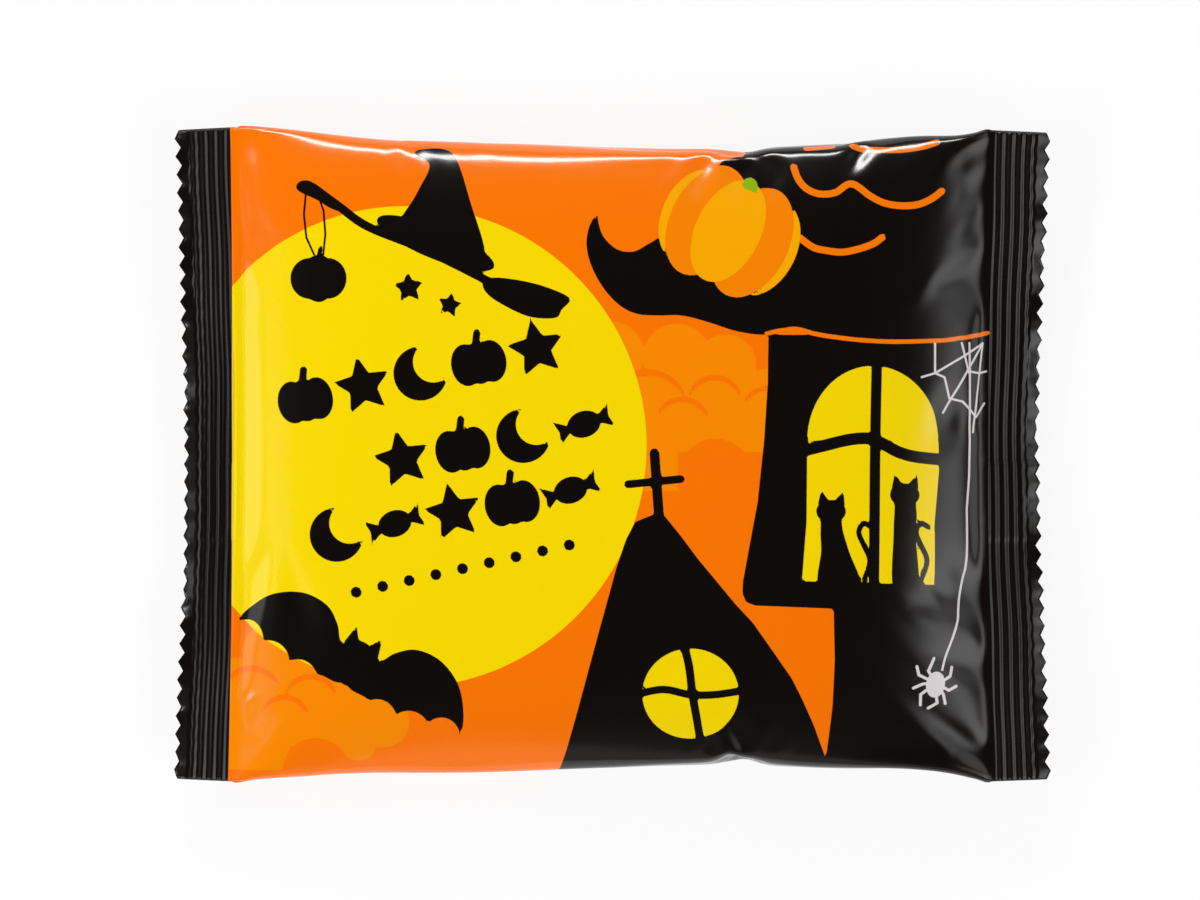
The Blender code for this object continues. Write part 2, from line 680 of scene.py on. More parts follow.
def overlap(*shapes: np.ndarray) -> np.ndarray:
    """What shapes have in common: the greatest of their distances."""
    return np.maximum.reduce(shapes)


def arc(at: Points, x: float, y: float, radius: float, span: float, width: float) -> np.ndarray:
    """Distance outside a curved line over the top of a circle, thinning towards its ends.

    It is the distance from the circle less half the width, and the width falls to nothing at
    span degrees from the top.

    Args:
        at: Coordinates on the print, in millimetres.
        x: X of its middle, or of each point.
        y: Y of its middle, or of each point.
        radius: Radius of the circle.
        span: Degrees from the top to each end.
        width: Width of the line.

    Returns:
        Distance outside it at each point, less than nothing inside.
    """
    turn = np.degrees(np.abs(np.arctan2(at[0] - x, at[1] - y)))
    taper = 1 - np.clip(turn / span, 0, 1.2) ** 4
    return np.abs(np.hypot(at[0] - x, at[1] - y) - radius) - width / 2 * taper


def box(at: Points, left: float, right: float, low: float, high: float) -> np.ndarray:
    """Distance outside an upright rectangle, by its farthest side."""
    return overlap(left - at[0], at[0] - right, low - at[1], at[1] - high)


# -------------------------------------------------------------------------------- the print


@dataclass(frozen=True)
class Print:
    """The picture on the film, in millimetres from the middle of the front.

    An autumn night in flat colours: a moon over orange clouds, a black roof and tower with a
    lit window, a steeple, bats, a plain pumpkin and a spider on its thread. There is no
    lettering: where a pack would have some, rows of plain shapes stand.
    """

    dark_end: float = -58.3
    moon: tuple = (-31.1, 1.4, 36.4)

    def inks(self, at: Points) -> dict[Ink, np.ndarray]:
        """Every ink's distance at each point, less than nothing where it is printed.

        Args:
            at: Coordinates on the print, in millimetres.

        Returns:
            Distance outside it at each point, less than nothing inside.
        """
        return {
            Ink.CLOUD: self.clouds(at),
            Ink.MOON: disc(at, *self.moon),
            Ink.BLACK: self.black(at),
            Ink.WINDOW: self.windows(at),
            Ink.LINE: self.lines(at),
            Ink.LOBE: self.pumpkin(at, (-3.8, 3.8), 5.5, 8.9),
            Ink.LOBE_LIGHT: self.light_lobes(at),
            Ink.STEM: self.stem(at),
            Ink.PALE: self.spider(at),
        }

    def clouds(self, at: Points) -> np.ndarray:
        """Banks of light orange with darker crescents cut into them.

        Args:
            at: Coordinates on the print, in millimetres.

        Returns:
            Distance outside it at each point, less than nothing inside.
        """
        right = join(
            disc(at, -0.1, 15.4, 5.0), disc(at, 9.9, 14.9, 5.15), disc(at, 17.3, 13.9, 4.55),
            disc(at, 23.7, 10.4, 2.9), box(at, 0, 24, 0.6, 12.0), box(at, 0, 10, -5.3, 12.0),
        )
        right = cut(
            right, disc(at, 15.7, -2.75, 5.4),
            arc(at, 5.4, 6.5, 6.2, 68, 0.95), arc(at, 15.6, 7.8, 4.1, 78, 0.85),
            arc(at, 23.7, 6.2, 4.1, 70, 0.8), arc(at, 10.7, 4.5, 4.1, 75, 0.85),
        )
        left = join(
            disc(at, -52.2, -29.9, 4.1), disc(at, -46.8, -34.7, 4.5), disc(at, -37.8, -40.4, 3.95),
            disc(at, -34.7, -40.3, 3.95), disc(at, -38.5, -43.8, 2.65),
            box(at, -70, -38, -44.3, -31.0), box(at, -70, -49.0, -47.9, -31.0),
        )
        left = cut(
            left, disc(at, -45.0, -48.1, 5.2),
            arc(at, -54.8, -37.5, 5.0, 62, 0.95), arc(at, -45.7, -37.7, 4.1, 75, 0.85),
            arc(at, -49.7, -40.5, 3.7, 75, 0.85),
        )
        bank = join(
            disc(at, 0, -84, 9), disc(at, -14, -88, 11), disc(at, -28, -84, 9), disc(at, -40, -87, 8),
        )
        return join(right, left, bank)

    def black(self, at: Points) -> np.ndarray:
        """Everything printed black.

        Args:
            at: Coordinates on the print, in millimetres.

        Returns:
            Distance outside it at each point, less than nothing inside.
        """
        roof_edge = [
            (22.0, 70.0), (20.6, 48.0), (18.6, 45.4), (16.2, 43.9), (15, 36), (11, 34.5), (7.6, 33.3),
            (5.6, 32.2), (3.3, 31.0), (0.8, 31.3), (-1.3, 33.2), (-2.1, 35.4), (-2.3, 36.6),
            (-3.4, 35.0), (-3.9, 32.6), (-3.6, 30.2), (-2.6, 27.6), (-0.8, 24.8), (1.5, 22.6),
            (4.0, 21.5), (7.4, 21.3), (10.6, 21.3), (14.6, 20.3), (19.0, 18.9), (23.4, 18.4),
            (27.6, 19.1), (31.0, 18.3), (36.0, 17.6), (42.0, 17.2), (50.0, 17.4), (55.0, 18.1),
            (60.0, 19.4), (60.0, 70.0),
        ]
        tower_edge = [
            (23.7, 18.4), (23.6, 11.0), (23.1, 2.7), (22.1, -7.0), (20.9, -13.5), (19.9, -19.0),
            (19.8, -20.8), (20.4, -22.2), (21.8, -22.7), (33.6, -23.2), (33.8, -31.0),
            (33.5, -38.1), (32.6, -45.9), (33.2, -52.0), (36.0, -118.0), (60.0, -118.0), (60.0, 18.4),
        ]
        steeple_edge = [
            (6.3, -8.9), (7.9, -8.9), (10.5, -12.1), (13.1, -15.6), (16.0, -19.1), (18.8, -22.5),
            (21.4, -25.3), (24.4, -29.6), (27.3, -33.8), (29.0, -37.2), (30.7, -41.0),
            (32.6, -46.2), (33.4, -52.0), (34.0, -70.0), (-16.0, -70.0), (-8.9, -52.0),
            (-7.4, -46.5), (-5.0, -38.0), (-2.0, -27.0), (0.8, -16.8), (2.2, -12.7), (3.6, -10.0),
        ]
        ends = join(at[0] - self.dark_end, 57.2 - at[0])
        return join(
            ends,
            outline(at, roof_edge),
            outline(at, tower_edge, smooth=False),
            outline(at, steeple_edge, smooth=False),
            stroke(at, [(6.5, 0.4), (7.2, -9.2)], 1.5, smooth=False),
            stroke(at, [(2.5, -4.3), (10.5, -3.5)], 1.2, smooth=False),
            self.bat(at, -39.2, -31.8, 1.0, -26.0),
            self.broom(at),
            self.rows_of_shapes(at),
            self.back_skyline(at),
        )

    def back_skyline(self, at: Points) -> np.ndarray:
        """A plain row of rounded hills along the back."""
        return join(
            disc(at, -50, -118, 17), disc(at, -26, -122, 18), disc(at, 2, -118, 15),
            disc(at, 26, -121, 19),
        )

    def bat(self, at: Points, x: float, y: float, size: float, tilt: float) -> np.ndarray:
        """A bat with spread wings: the same wing on both sides of an oval body with two ears.

        Args:
            at: Coordinates on the print, in millimetres.
            x: X of its middle, or of each point.
            y: Y of its middle, or of each point.
            size: Its scale.
            tilt: How far it is turned, in degrees.

        Returns:
            Distance outside it at each point, less than nothing inside.
        """
        u, v = turned(at, x, y, tilt)
        u, v = u / size, v / size
        side = (np.abs(u), v)
        wing = outline(side, [
            (0.5, 2.4), (3.2, 2.3), (4.9, 4.5), (7.6, 6.4), (11.6, 6.5), (15.6, 4.4), (18.3, 0.6),
            (19.0, -2.6), (16.4, -3.4), (12.0, -4.4), (8.0, -4.6), (4.0, -3.6), (0.5, -3.0),
        ])
        wing = cut(
            wing, disc(side, 16.6, -3.6, 2.75), disc(side, 11.9, -5.3, 3.2),
            disc(side, 6.7, -5.6, 2.9),
        )
        head = ellipse((u, v), 0.0, 0.3, 3.2, 3.6)
        ear = outline(side, [(0.7, 3.4), (2.2, 5.6), (3.0, 2.0)], smooth=False)
        return np.minimum(join(wing, head, ear) * size, FAR)

    def broom(self, at: Points) -> np.ndarray:
        """A broom flying over the moon, with a pointed hat on it and a lantern at its end.

        Args:
            at: Coordinates on the print, in millimetres.

        Returns:
            Distance outside it at each point, less than nothing inside.
        """
        handle = join(
            stroke(at, [(-45.6, 40.6), (-41.4, 37.6), (-37.0, 34.6), (-28.0, 31.0), (-17.5, 25.8)], 1.3),
            outline(at, [
                (-48.1, 41.0), (-47.2, 41.6), (-45.6, 41.3), (-43.0, 39.1), (-40.6, 37.0),
                (-42.6, 37.3), (-45.0, 38.7), (-47.0, 39.6), (-48.0, 40.2),
            ]),
        )
        brush = outline(at, [
            (-19.6, 26.3), (-17.9, 27.0), (-14.0, 26.6), (-10.0, 25.6), (-6.4, 23.9), (-7.6, 22.2),
            (-8.6, 20.9), (-12.6, 21.1), (-16.6, 22.9), (-19.0, 24.6),
        ])
        brim = ellipse(at, -26.8, 32.2, 9.6, 2.4, -22)
        cone = outline(at, [
            (-32.4, 34.0), (-29.8, 39.6), (-27.8, 44.2), (-30.2, 46.0), (-28.6, 47.0), (-24.4, 46.2),
            (-21.6, 38.6), (-19.4, 29.6), (-26.0, 30.6),
        ])
        lantern = join(
            ellipse(at, -46.0, 26.8, 2.9, 3.1), ellipse(at, -43.2, 26.8, 2.9, 3.1),
            ellipse(at, -44.6, 26.8, 2.6, 3.6), stroke(at, [(-44.6, 30.0), (-44.3, 31.4)], 0.7),
        )
        tail = join(
            star(at, -30.8, 25.4, 2.5, 1.2, 5.0), star(at, -24.6, 22.8, 2.0, 1.0, -12.0),
        )
        return join(handle, brush, brim, cone, lantern, tail)

    def rows_of_shapes(self, at: Points) -> np.ndarray:
        """Slanting rows of pumpkins, stars, new moons and sweets where lettering would be.

        Args:
            at: Coordinates on the print, in millimetres.

        Returns:
            Distance outside it at each point, less than nothing inside.
        """
        rows = (
            ((-46.6, 8.6), (8.8, 1.9), ("pumpkin", "star", "moon", "pumpkin", "star")),
            ((-31.8, -0.6), (9.2, 1.8), ("star", "pumpkin", "moon", "sweet")),
            ((-41.8, -12.0), (8.9, 1.7), ("moon", "sweet", "star", "pumpkin", "sweet")),
        )
        shapes = []
        for (x, y), (dx, dy), names in rows:
            for place, name in enumerate(names):
                shapes.append(self.small_shape(at, name, x + place * dx, y + place * dy))
        for place in range(9):
            shapes.append(disc(at, -38.8 + 4.05 * place, -20.7 + 0.9 * place, 0.85))
        return join(*shapes)

    def small_shape(self, at: Points, name: str, x: float, y: float) -> np.ndarray:
        """One plain black shape about eight millimetres across.

        Args:
            at: Coordinates on the print, in millimetres.
            name: Which shape.
            x: X of its middle, or of each point.
            y: Y of its middle, or of each point.

        Returns:
            Distance outside it at each point, less than nothing inside.
        """
        if name == "pumpkin":
            u, v = turned(at, x, y, 10.0)
            lobes = (ellipse((u, v), place, -0.3, 2.3, 3.2) for place in (-1.9, 0.0, 1.9))
            return join(*lobes, stroke((u, v), [(0.0, 2.6), (0.5, 4.3)], 1.1))
        if name == "star":
            return star(at, x, y, 4.6, 2.2, 12.0)
        if name == "moon":
            u, v = turned(at, x, y, 12.0)
            return cut(disc((u, v), 0, 0, 4.1), disc((u, v), 2.3, 1.3, 3.1))
        u, v = turned(at, x, y, 20.0)
        side = (np.abs(u), v)
        twist = outline(side, [(1.6, 0.0), (4.4, 1.9), (3.9, 0.0), (4.4, -1.9)], smooth=False)
        return join(ellipse((u, v), 0, 0, 2.6, 2.0), twist)

    def windows(self, at: Points) -> np.ndarray:
        """Lit panes: an arched window with two cats, and a round one in the steeple.

        Args:
            at: Coordinates on the print, in millimetres.

        Returns:
            Distance outside it at each point, less than nothing inside.
        """
        arch = join(
            overlap(ellipse(at, 39.6, 2.4, 10.0, 11.3), 2.4 - at[1]),
            outline(at, [
                (29.6, 2.5), (49.6, 2.5), (49.6, -2.0), (48.9, -10.0), (49.0, -19.6),
                (28.8, -19.0), (29.5, -10.0),
            ], smooth=False),
        )
        bars = join(
            stroke(at, [(40.2, 15.0), (39.9, 0.0), (39.7, -20.0)], 1.6),
            stroke(at, [
                (29.0, 0.8), (32.6, 1.7), (35.5, 2.4), (38.0, 2.7), (39.7, 2.5), (41.4, 1.7),
                (43.5, 0.6), (46.0, -0.1), (50.4, -0.6),
            ], 1.8),
        )
        cats = join(self.cat(at, 33.2, -8.4, 0.0), self.cat(at, 44.4, -5.9, 2.2))
        round_pane = cut(
            ellipse(at, 12.0, -36.1, 7.3, 6.9),
            stroke(at, [(11.0, -28.6), (11.8, -32.0), (12.3, -36.1), (12.9, -39.6), (13.5, -43.4)], 1.25),
            stroke(at, [(4.4, -36.0), (8.0, -35.4), (12.0, -36.2), (15.8, -36.2), (19.8, -35.6)], 1.15),
        )
        return join(cut(arch, bars, cats), round_pane)

    def cat(self, at: Points, x: float, y: float, longer: float) -> np.ndarray:
        """A cat sitting with its back turned: oval head, two ears, a neck, a body and a tail.

        Args:
            at: Coordinates on the print, in millimetres.
            x: X of its middle, or of each point.
            y: Y of its middle, or of each point.
            longer: How much taller this cat sits.

        Returns:
            Distance outside it at each point, less than nothing inside.
        """
        head = ellipse(at, x, y, 2.25, 1.75)
        ears = join(
            outline(at, [(x - 2.1, y + 0.6), (x - 1.5, y + 3.3), (x - 0.3, y + 1.5)], smooth=False),
            outline(at, [(x + 2.1, y + 0.6), (x + 1.9, y + 3.1), (x + 0.4, y + 1.5)], smooth=False),
        )
        body = outline(at, [
            (x - 1.2, y), (x - 1.6, y - 3.0), (x - 1.5 - 0.1 * longer, y - 6.0),
            (x - 1.7, -20.2), (x + 4.4 - 1.1 * longer, -20.2), (x + 2.7 - 0.5 * longer, y - 6.0),
            (x + 1.8, y - 3.0), (x + 1.2, y),
        ])
        side = x - 1.15 * longer
        tail = stroke(at, [
            (side + 5.0, -18.9), (side + 5.9, -15.9), (side + 4.9, -13.4), (side + 4.2, -11.6),
            (side + 4.9, -10.2), (side + 6.1, -10.8),
        ], 0.8)
        return join(head, ears, body, tail)

    def lines(self, at: Points) -> np.ndarray:
        """Orange lines on the roof: its eaves, and rows of round tiles.

        Args:
            at: Coordinates on the print, in millimetres.

        Returns:
            Distance outside it at each point, less than nothing inside.
        """
        return join(
            stroke(at, [
                (23.4, 18.6), (27.6, 19.3), (31.0, 18.5), (36.0, 17.8), (42.0, 17.4), (50.0, 17.6),
                (55.0, 18.3), (57.5, 18.8),
            ], 0.68),
            stroke(at, [
                (27.6, 44.0), (28.2, 42.2), (29.3, 40.8), (30.8, 40.0), (32.3, 39.8), (34.0, 40.1),
                (35.4, 41.1), (36.3, 41.4), (37.4, 40.9), (39.1, 39.6), (41.3, 38.5), (43.8, 38.1),
                (46.4, 38.3), (48.5, 39.2), (50.1, 40.4),
            ], 1.05),
            stroke(at, [
                (28.4, 33.2), (30.5, 31.7), (32.7, 31.2), (34.9, 31.0), (37.4, 31.5), (39.6, 32.3),
                (41.0, 33.3),
            ], 1.05),
            stroke(at, [
                (36.6, 47.6), (38.8, 47.0), (41.8, 46.7), (44.7, 46.8), (47.3, 47.2), (49.6, 47.9),
            ], 1.05),
            stroke(at, [(29.6, 47.2), (33.6, 47.6)], 1.05),
        )

    def pumpkin(self, at: Points, places: tuple, rx: float, ry: float) -> np.ndarray:
        """Lobes of the pumpkin: ellipses beside each other on its tilted axis."""
        u, v = turned(at, 17.8, 34.1, -26.0)
        return join(*(ellipse((u, v), place, 0.0, rx, ry) for place in places))

    def light_lobes(self, at: Points) -> np.ndarray:
        """The front lobe, and the edges of the two at the sides."""
        outer = cut(self.pumpkin(at, (-5.7, 5.7), 5.0, 7.7), self.pumpkin(at, (-3.8, 3.8), 5.5, 8.9))
        return join(outer, self.pumpkin(at, (-0.2,), 4.9, 8.3))

    def stem(self, at: Points) -> np.ndarray:
        """The pumpkin's green stem."""
        corners = [(19.6, 40.9), (20.2, 42.2), (21.3, 42.4), (22.1, 41.5), (22.0, 39.9)]
        return outline(at, corners, smooth=False)

    def spider(self, at: Points) -> np.ndarray:
        """The spider's oval body."""
        return ellipse(at, 49.1, -34.9, 1.4, 2.0, -8)

    def thin_black(self) -> list[tuple]:
        """The lantern's strings, as straight stretches: two ends and a width each.

        Returns:
            The stretches.
        """
        left = [(-46.6, 40.4), (-46.9, 36.5), (-46.5, 33.0), (-45.3, 30.4)]
        right = [(-44.9, 39.8), (-43.9, 37.0), (-43.6, 33.5), (-43.9, 30.4)]
        return stretches(left, 0.32) + stretches(right, 0.32)

    def thin_pale(self) -> list[tuple]:
        """A corner of a web, a long thread from it and the spider's legs, as stretches.

        Returns:
            The stretches.
        """
        threads = (
            [(49.0, 17.1), (49.0, 12.6)], [(56.6, 17.2), (49.0, 12.6), (47.0, 12.0)],
            [(56.6, 17.2), (53.9, 13.0), (50.4, 6.6)], [(56.6, 17.2), (55.9, 12.0), (54.9, 3.6)],
            [(53.0, 17.2), (54.1, 12.7)],
            [(49.0, 12.6), (50.4, 12.0), (51.3, 8.8), (53.2, 8.3), (55.4, 5.9), (56.9, 8.0)],
            [(54.1, 12.9), (55.9, 12.6), (57.2, 12.9)],
        )
        drop = [
            (54.2, 17.2), (54.3, 12.8), (54.3, 2.3), (54.2, -3.0), (53.8, -8.0), (53.9, -17.2),
            (52.6, -25.0), (50.1, -32.7),
        ]
        legs = (
            [(48.4, -33.4), (48.0, -32.8), (48.9, -30.9)], [(48.2, -34.2), (46.6, -33.4), (46.3, -32.1)],
            [(48.2, -34.7), (47.2, -34.8), (45.8, -35.4)], [(48.2, -35.4), (46.9, -36.4), (46.9, -38.0)],
            [(49.2, -36.2), (49.4, -37.7), (48.1, -38.5)], [(50.1, -34.4), (51.3, -33.7), (51.7, -32.3)],
            [(50.1, -35.2), (51.1, -35.8), (52.2, -35.2)], [(49.9, -35.8), (50.3, -36.4), (50.6, -37.8)],
        )
        found = stretches(drop, 0.34)
        for thread in threads:
            found += stretches(thread, 0.32)
        for leg in legs:
            found += stretches(leg, 0.44)
        return found


def stretches(path: list, width: float) -> list[tuple]:
    """The straight stretches of a path: each its two ends and the line's width."""
    return [(*here, *there, width) for here, there in zip(path[:-1], path[1:])]


def star(at: Points, x: float, y: float, outer: float, inner: float, tilt: float) -> np.ndarray:
    """A five-pointed star: an outline that goes in and out ten times round its middle.

    Args:
        at: Coordinates on the print, in millimetres.
        x: X of its middle, or of each point.
        y: Y of its middle, or of each point.
        outer: Radius of the tips.
        inner: Radius of the notches.
        tilt: How far it is turned, in degrees.

    Returns:
        Distance outside it at each point, less than nothing inside.
    """
    turn = np.radians(np.arange(10) * 36.0 + 90.0 + tilt)
    reach = np.where(np.arange(10) % 2 == 0, outer, inner)
    corners = np.stack([x + reach * np.cos(turn), y + reach * np.sin(turn)], axis=1)
    return outline(at, corners.tolist(), smooth=False)


# ------------------------------------------------------------------------------- the pieces


def add_mesh(
    name: str, points: np.ndarray, faces: np.ndarray, place: Points, inks: dict[Ink, np.ndarray],
) -> bpy.types.Object:
    """Makes a mesh object with an attribute for each ink.

    Args:
        name: The object's name.
        points: Vertices, one row each, in metres.
        faces: Corners of each face, four to a row.
        place: Where each vertex falls on the print, in millimetres.
        inks: Distance of each ink at each vertex, in millimetres.

    Returns:
        The object, at the origin and smooth shaded.
    """
    mesh = bpy.data.meshes.new(name)
    mesh.vertices.add(len(points))
    mesh.vertices.foreach_set("co", points.astype(np.float32).ravel())
    mesh.loops.add(faces.size)
    mesh.loops.foreach_set("vertex_index", faces.astype(np.int32).ravel())
    mesh.polygons.add(len(faces))
    mesh.polygons.foreach_set("loop_start", np.arange(0, faces.size, 4, dtype=np.int32))
    flat = np.stack([place[0].ravel(), place[1].ravel(), np.zeros(place[0].size)], axis=1)
    made = mesh.attributes.new(PRINT_PLACE, "FLOAT_VECTOR", "POINT")
    made.data.foreach_set("vector", flat.astype(np.float32).ravel())
    for ink, distance in inks.items():
        made = mesh.attributes.new(ink.value, "FLOAT", "POINT")
        made.data.foreach_set("value", np.clip(distance, -2, 2).astype(np.float32).ravel())
    mesh.update(calc_edges=True)
    mesh.validate()
    mesh.shade_smooth()
    made = bpy.data.objects.new(name, mesh)
    bpy.context.scene.collection.objects.link(made)
    return made


def grid_faces(rows: int, columns: int, around: bool) -> np.ndarray:
    """Four corners of each cell of a grid, closed from its last column to its first if around.

    Args:
        rows: Rows of the grid.
        columns: Columns of the grid, or points of the ring.
        around: Whether the grid closes on itself.

    Returns:
        Four points to a face.
    """
    row = np.arange(rows - 1)[:, None]
    column = np.arange(columns if around else columns - 1)[None, :]
    after = (column + 1) % columns
    corners = [row * columns + column, row * columns + after]
    corners += [(row + 1) * columns + after, (row + 1) * columns + column]
    return np.stack([np.broadcast_to(c, (rows - 1, column.size)) for c in corners], -1).reshape(-1, 4)


def lid_faces(columns: int, first: int, flip: bool) -> np.ndarray:
    """Closes a ring of points, flat from side to side, with faces from its front to its back.

    Args:
        columns: Columns of the grid, or points of the ring.
        first: Number of the ring's first point.
        flip: Whether to turn the faces round.

    Returns:
        Four points to a face.
    """
    quarter = columns // 4
    front = np.arange(-quarter, quarter) % columns
    after = (front + 1) % columns
    back, back_after = (columns // 2 - front) % columns, (columns // 2 - after) % columns
    faces = np.stack([front, after, back_after, back], axis=1) + first
    return faces[:, ::-1] if flip else faces


def unit(vectors: np.ndarray) -> np.ndarray:
    """Vectors, three rows, each made one long."""
    return vectors / (np.sqrt((vectors * vectors).sum(axis=0)) + 1e-12)


@dataclass(frozen=True)
class SealShape:
    """How one end seal bends and waves, in millimetres and degrees."""

    end: int
    droop: float
    droop_middle: float
    droop_width: float
    curl: tuple
    waves: tuple

    def bend(self, points: np.ndarray, away: np.ndarray, ribbed: float) -> np.ndarray:
        """Turns a seal down about its crease, and its plain flange further about the last rib.

        Args:
            points: The flat seal, in metres.
            away: Distance of each point from the crease, in millimetres.
            ribbed: Where the ribs end.

        Returns:
            The bent points.
        """
        y = points[1] / MM
        droop, curl = np.radians(self.droop_at(y)), np.radians(self.curl_at(y))
        beyond = np.clip(away - ribbed, 0, None)
        back = away * (1 - np.cos(droop)) + beyond * (1 - np.cos(curl))
        down = away * np.sin(droop) + beyond * np.sin(curl)
        loose = np.clip(beyond / 2.5, 0, 1)
        for height, length, phase in self.waves:
            down = down - loose * height * np.sin(2 * math.pi * y / length + phase)
        return points - MM * np.stack([self.end * back, 0 * back, down])

    def curl_at(self, y: np.ndarray) -> np.ndarray:
        """Bend of the plain flange at each Y: a sum of humps, each centre, width and degrees."""
        return sum(angle * np.exp(-(((y - middle) / width) ** 2)) for middle, width, angle in self.curl)

    def droop_at(self, y: np.ndarray) -> np.ndarray:
        """Bend of the whole seal at each Y, one broad hump."""
        return self.droop * np.exp(-(((y - self.droop_middle) / self.droop_width) ** 2))


SEALS = (
    SealShape(
        end=-1, droop=17, droop_middle=-8, droop_width=30,
        curl=(
            (-10, 16, 20), (10.5, 2.6, 26), (18, 5, 16), (27, 3, -16), (36, 4, 22), (42, 3, -18),
            (-20, 3, 18), (-29, 4, -20), (-37, 4, 16), (-47, 5, 32), (49, 3, 18),
        ),
        waves=((0.12, 5.1, 0.4), (0.07, 2.3, 1.9)),
    ),
    SealShape(
        end=1, droop=21, droop_middle=3, droop_width=32,
        curl=(
            (3.5, 2.4, 36), (-8, 2.2, 30), (-15, 3, -20), (14, 4, 26), (22, 3, -16), (30, 4, 30),
            (49, 4, 26), (41, 3, 24), (-30, 9, 22), (-44, 4, 8), (-50, 3, 20),
        ),
        waves=((0.12, 4.7, 2.1), (0.07, 2.1, 0.7)),
    ),
)


@dataclass(frozen=True)
class Crimp:
    """The crimped end seals: sizes in millimetres."""

    film: float = 0.28
    plain_inside: float = 1.3
    ribs: int = 4
    pitch: float = 1.5
    height: float = 0.16
    flank: float = 0.5
    wander: float = 0.13
    teeth: int = 36
    tooth: float = 0.9
    round_edge: float = 0.5
    rows: int = 76
    columns_a_tooth: int = 8
    flap_step: float = 0.13

    @property
    def ribbed(self) -> float:
        """Distance from the crease to the end of the last rib."""
        return self.plain_inside + self.ribs * self.pitch

    def rib(self, away: np.ndarray) -> np.ndarray:
        """Height of the ribs: a sine pressed towards a square wave, nothing beyond its ends.

        Args:
            away: Distance from the crease, in millimetres.

        Returns:
            The height at each distance, in millimetres.
        """
        first, last = self.plain_inside, self.ribbed
        phase = (away - first) / self.pitch
        wave = np.tanh(self.flank * np.sin(2 * math.pi * (phase - 0.25))) / math.tanh(self.flank)
        ends = np.clip((away - first + 0.3) / 0.4, 0, 1) * np.clip((last + 0.3 - away) / 0.4, 0, 1)
        return self.height * wave * ends

    def zigzag(self, u: np.ndarray) -> np.ndarray:
        """How far the cut edge lies behind its tooth tips: a triangle wave across the seal."""
        place = (u + FLAT_WIDTH / MM / 2) / (FLAT_WIDTH / MM / self.teeth)
        return self.tooth * np.abs(2 * (place % 1) - 1)


PRINT_EDGE_V = 0.0575
PRINT_EDGE_U = 0.046


def print_terms(v: np.ndarray, u: np.ndarray) -> tuple[np.ndarray, np.ndarray]:
    """The terms of the print's fit: V, and U, each times eight even powers of both.

    Args:
        v: Place along the film.
        u: Place across the film.

    Returns:
        The terms along and across, on a last axis of their own.
    """
    v, u = v / PRINT_EDGE_V, u / PRINT_EDGE_U
    a, b = v * v, u * u
    along = (1 + 0 * a, a, a * a, a * a * a, b, a * b, b * b, a * a * b)
    across = (1 + 0 * b, b, b * b, a, a * a, a * a * a, a * b, a * a * b)
    return v[..., None] * np.stack(along, -1), u[..., None] * np.stack(across, -1)


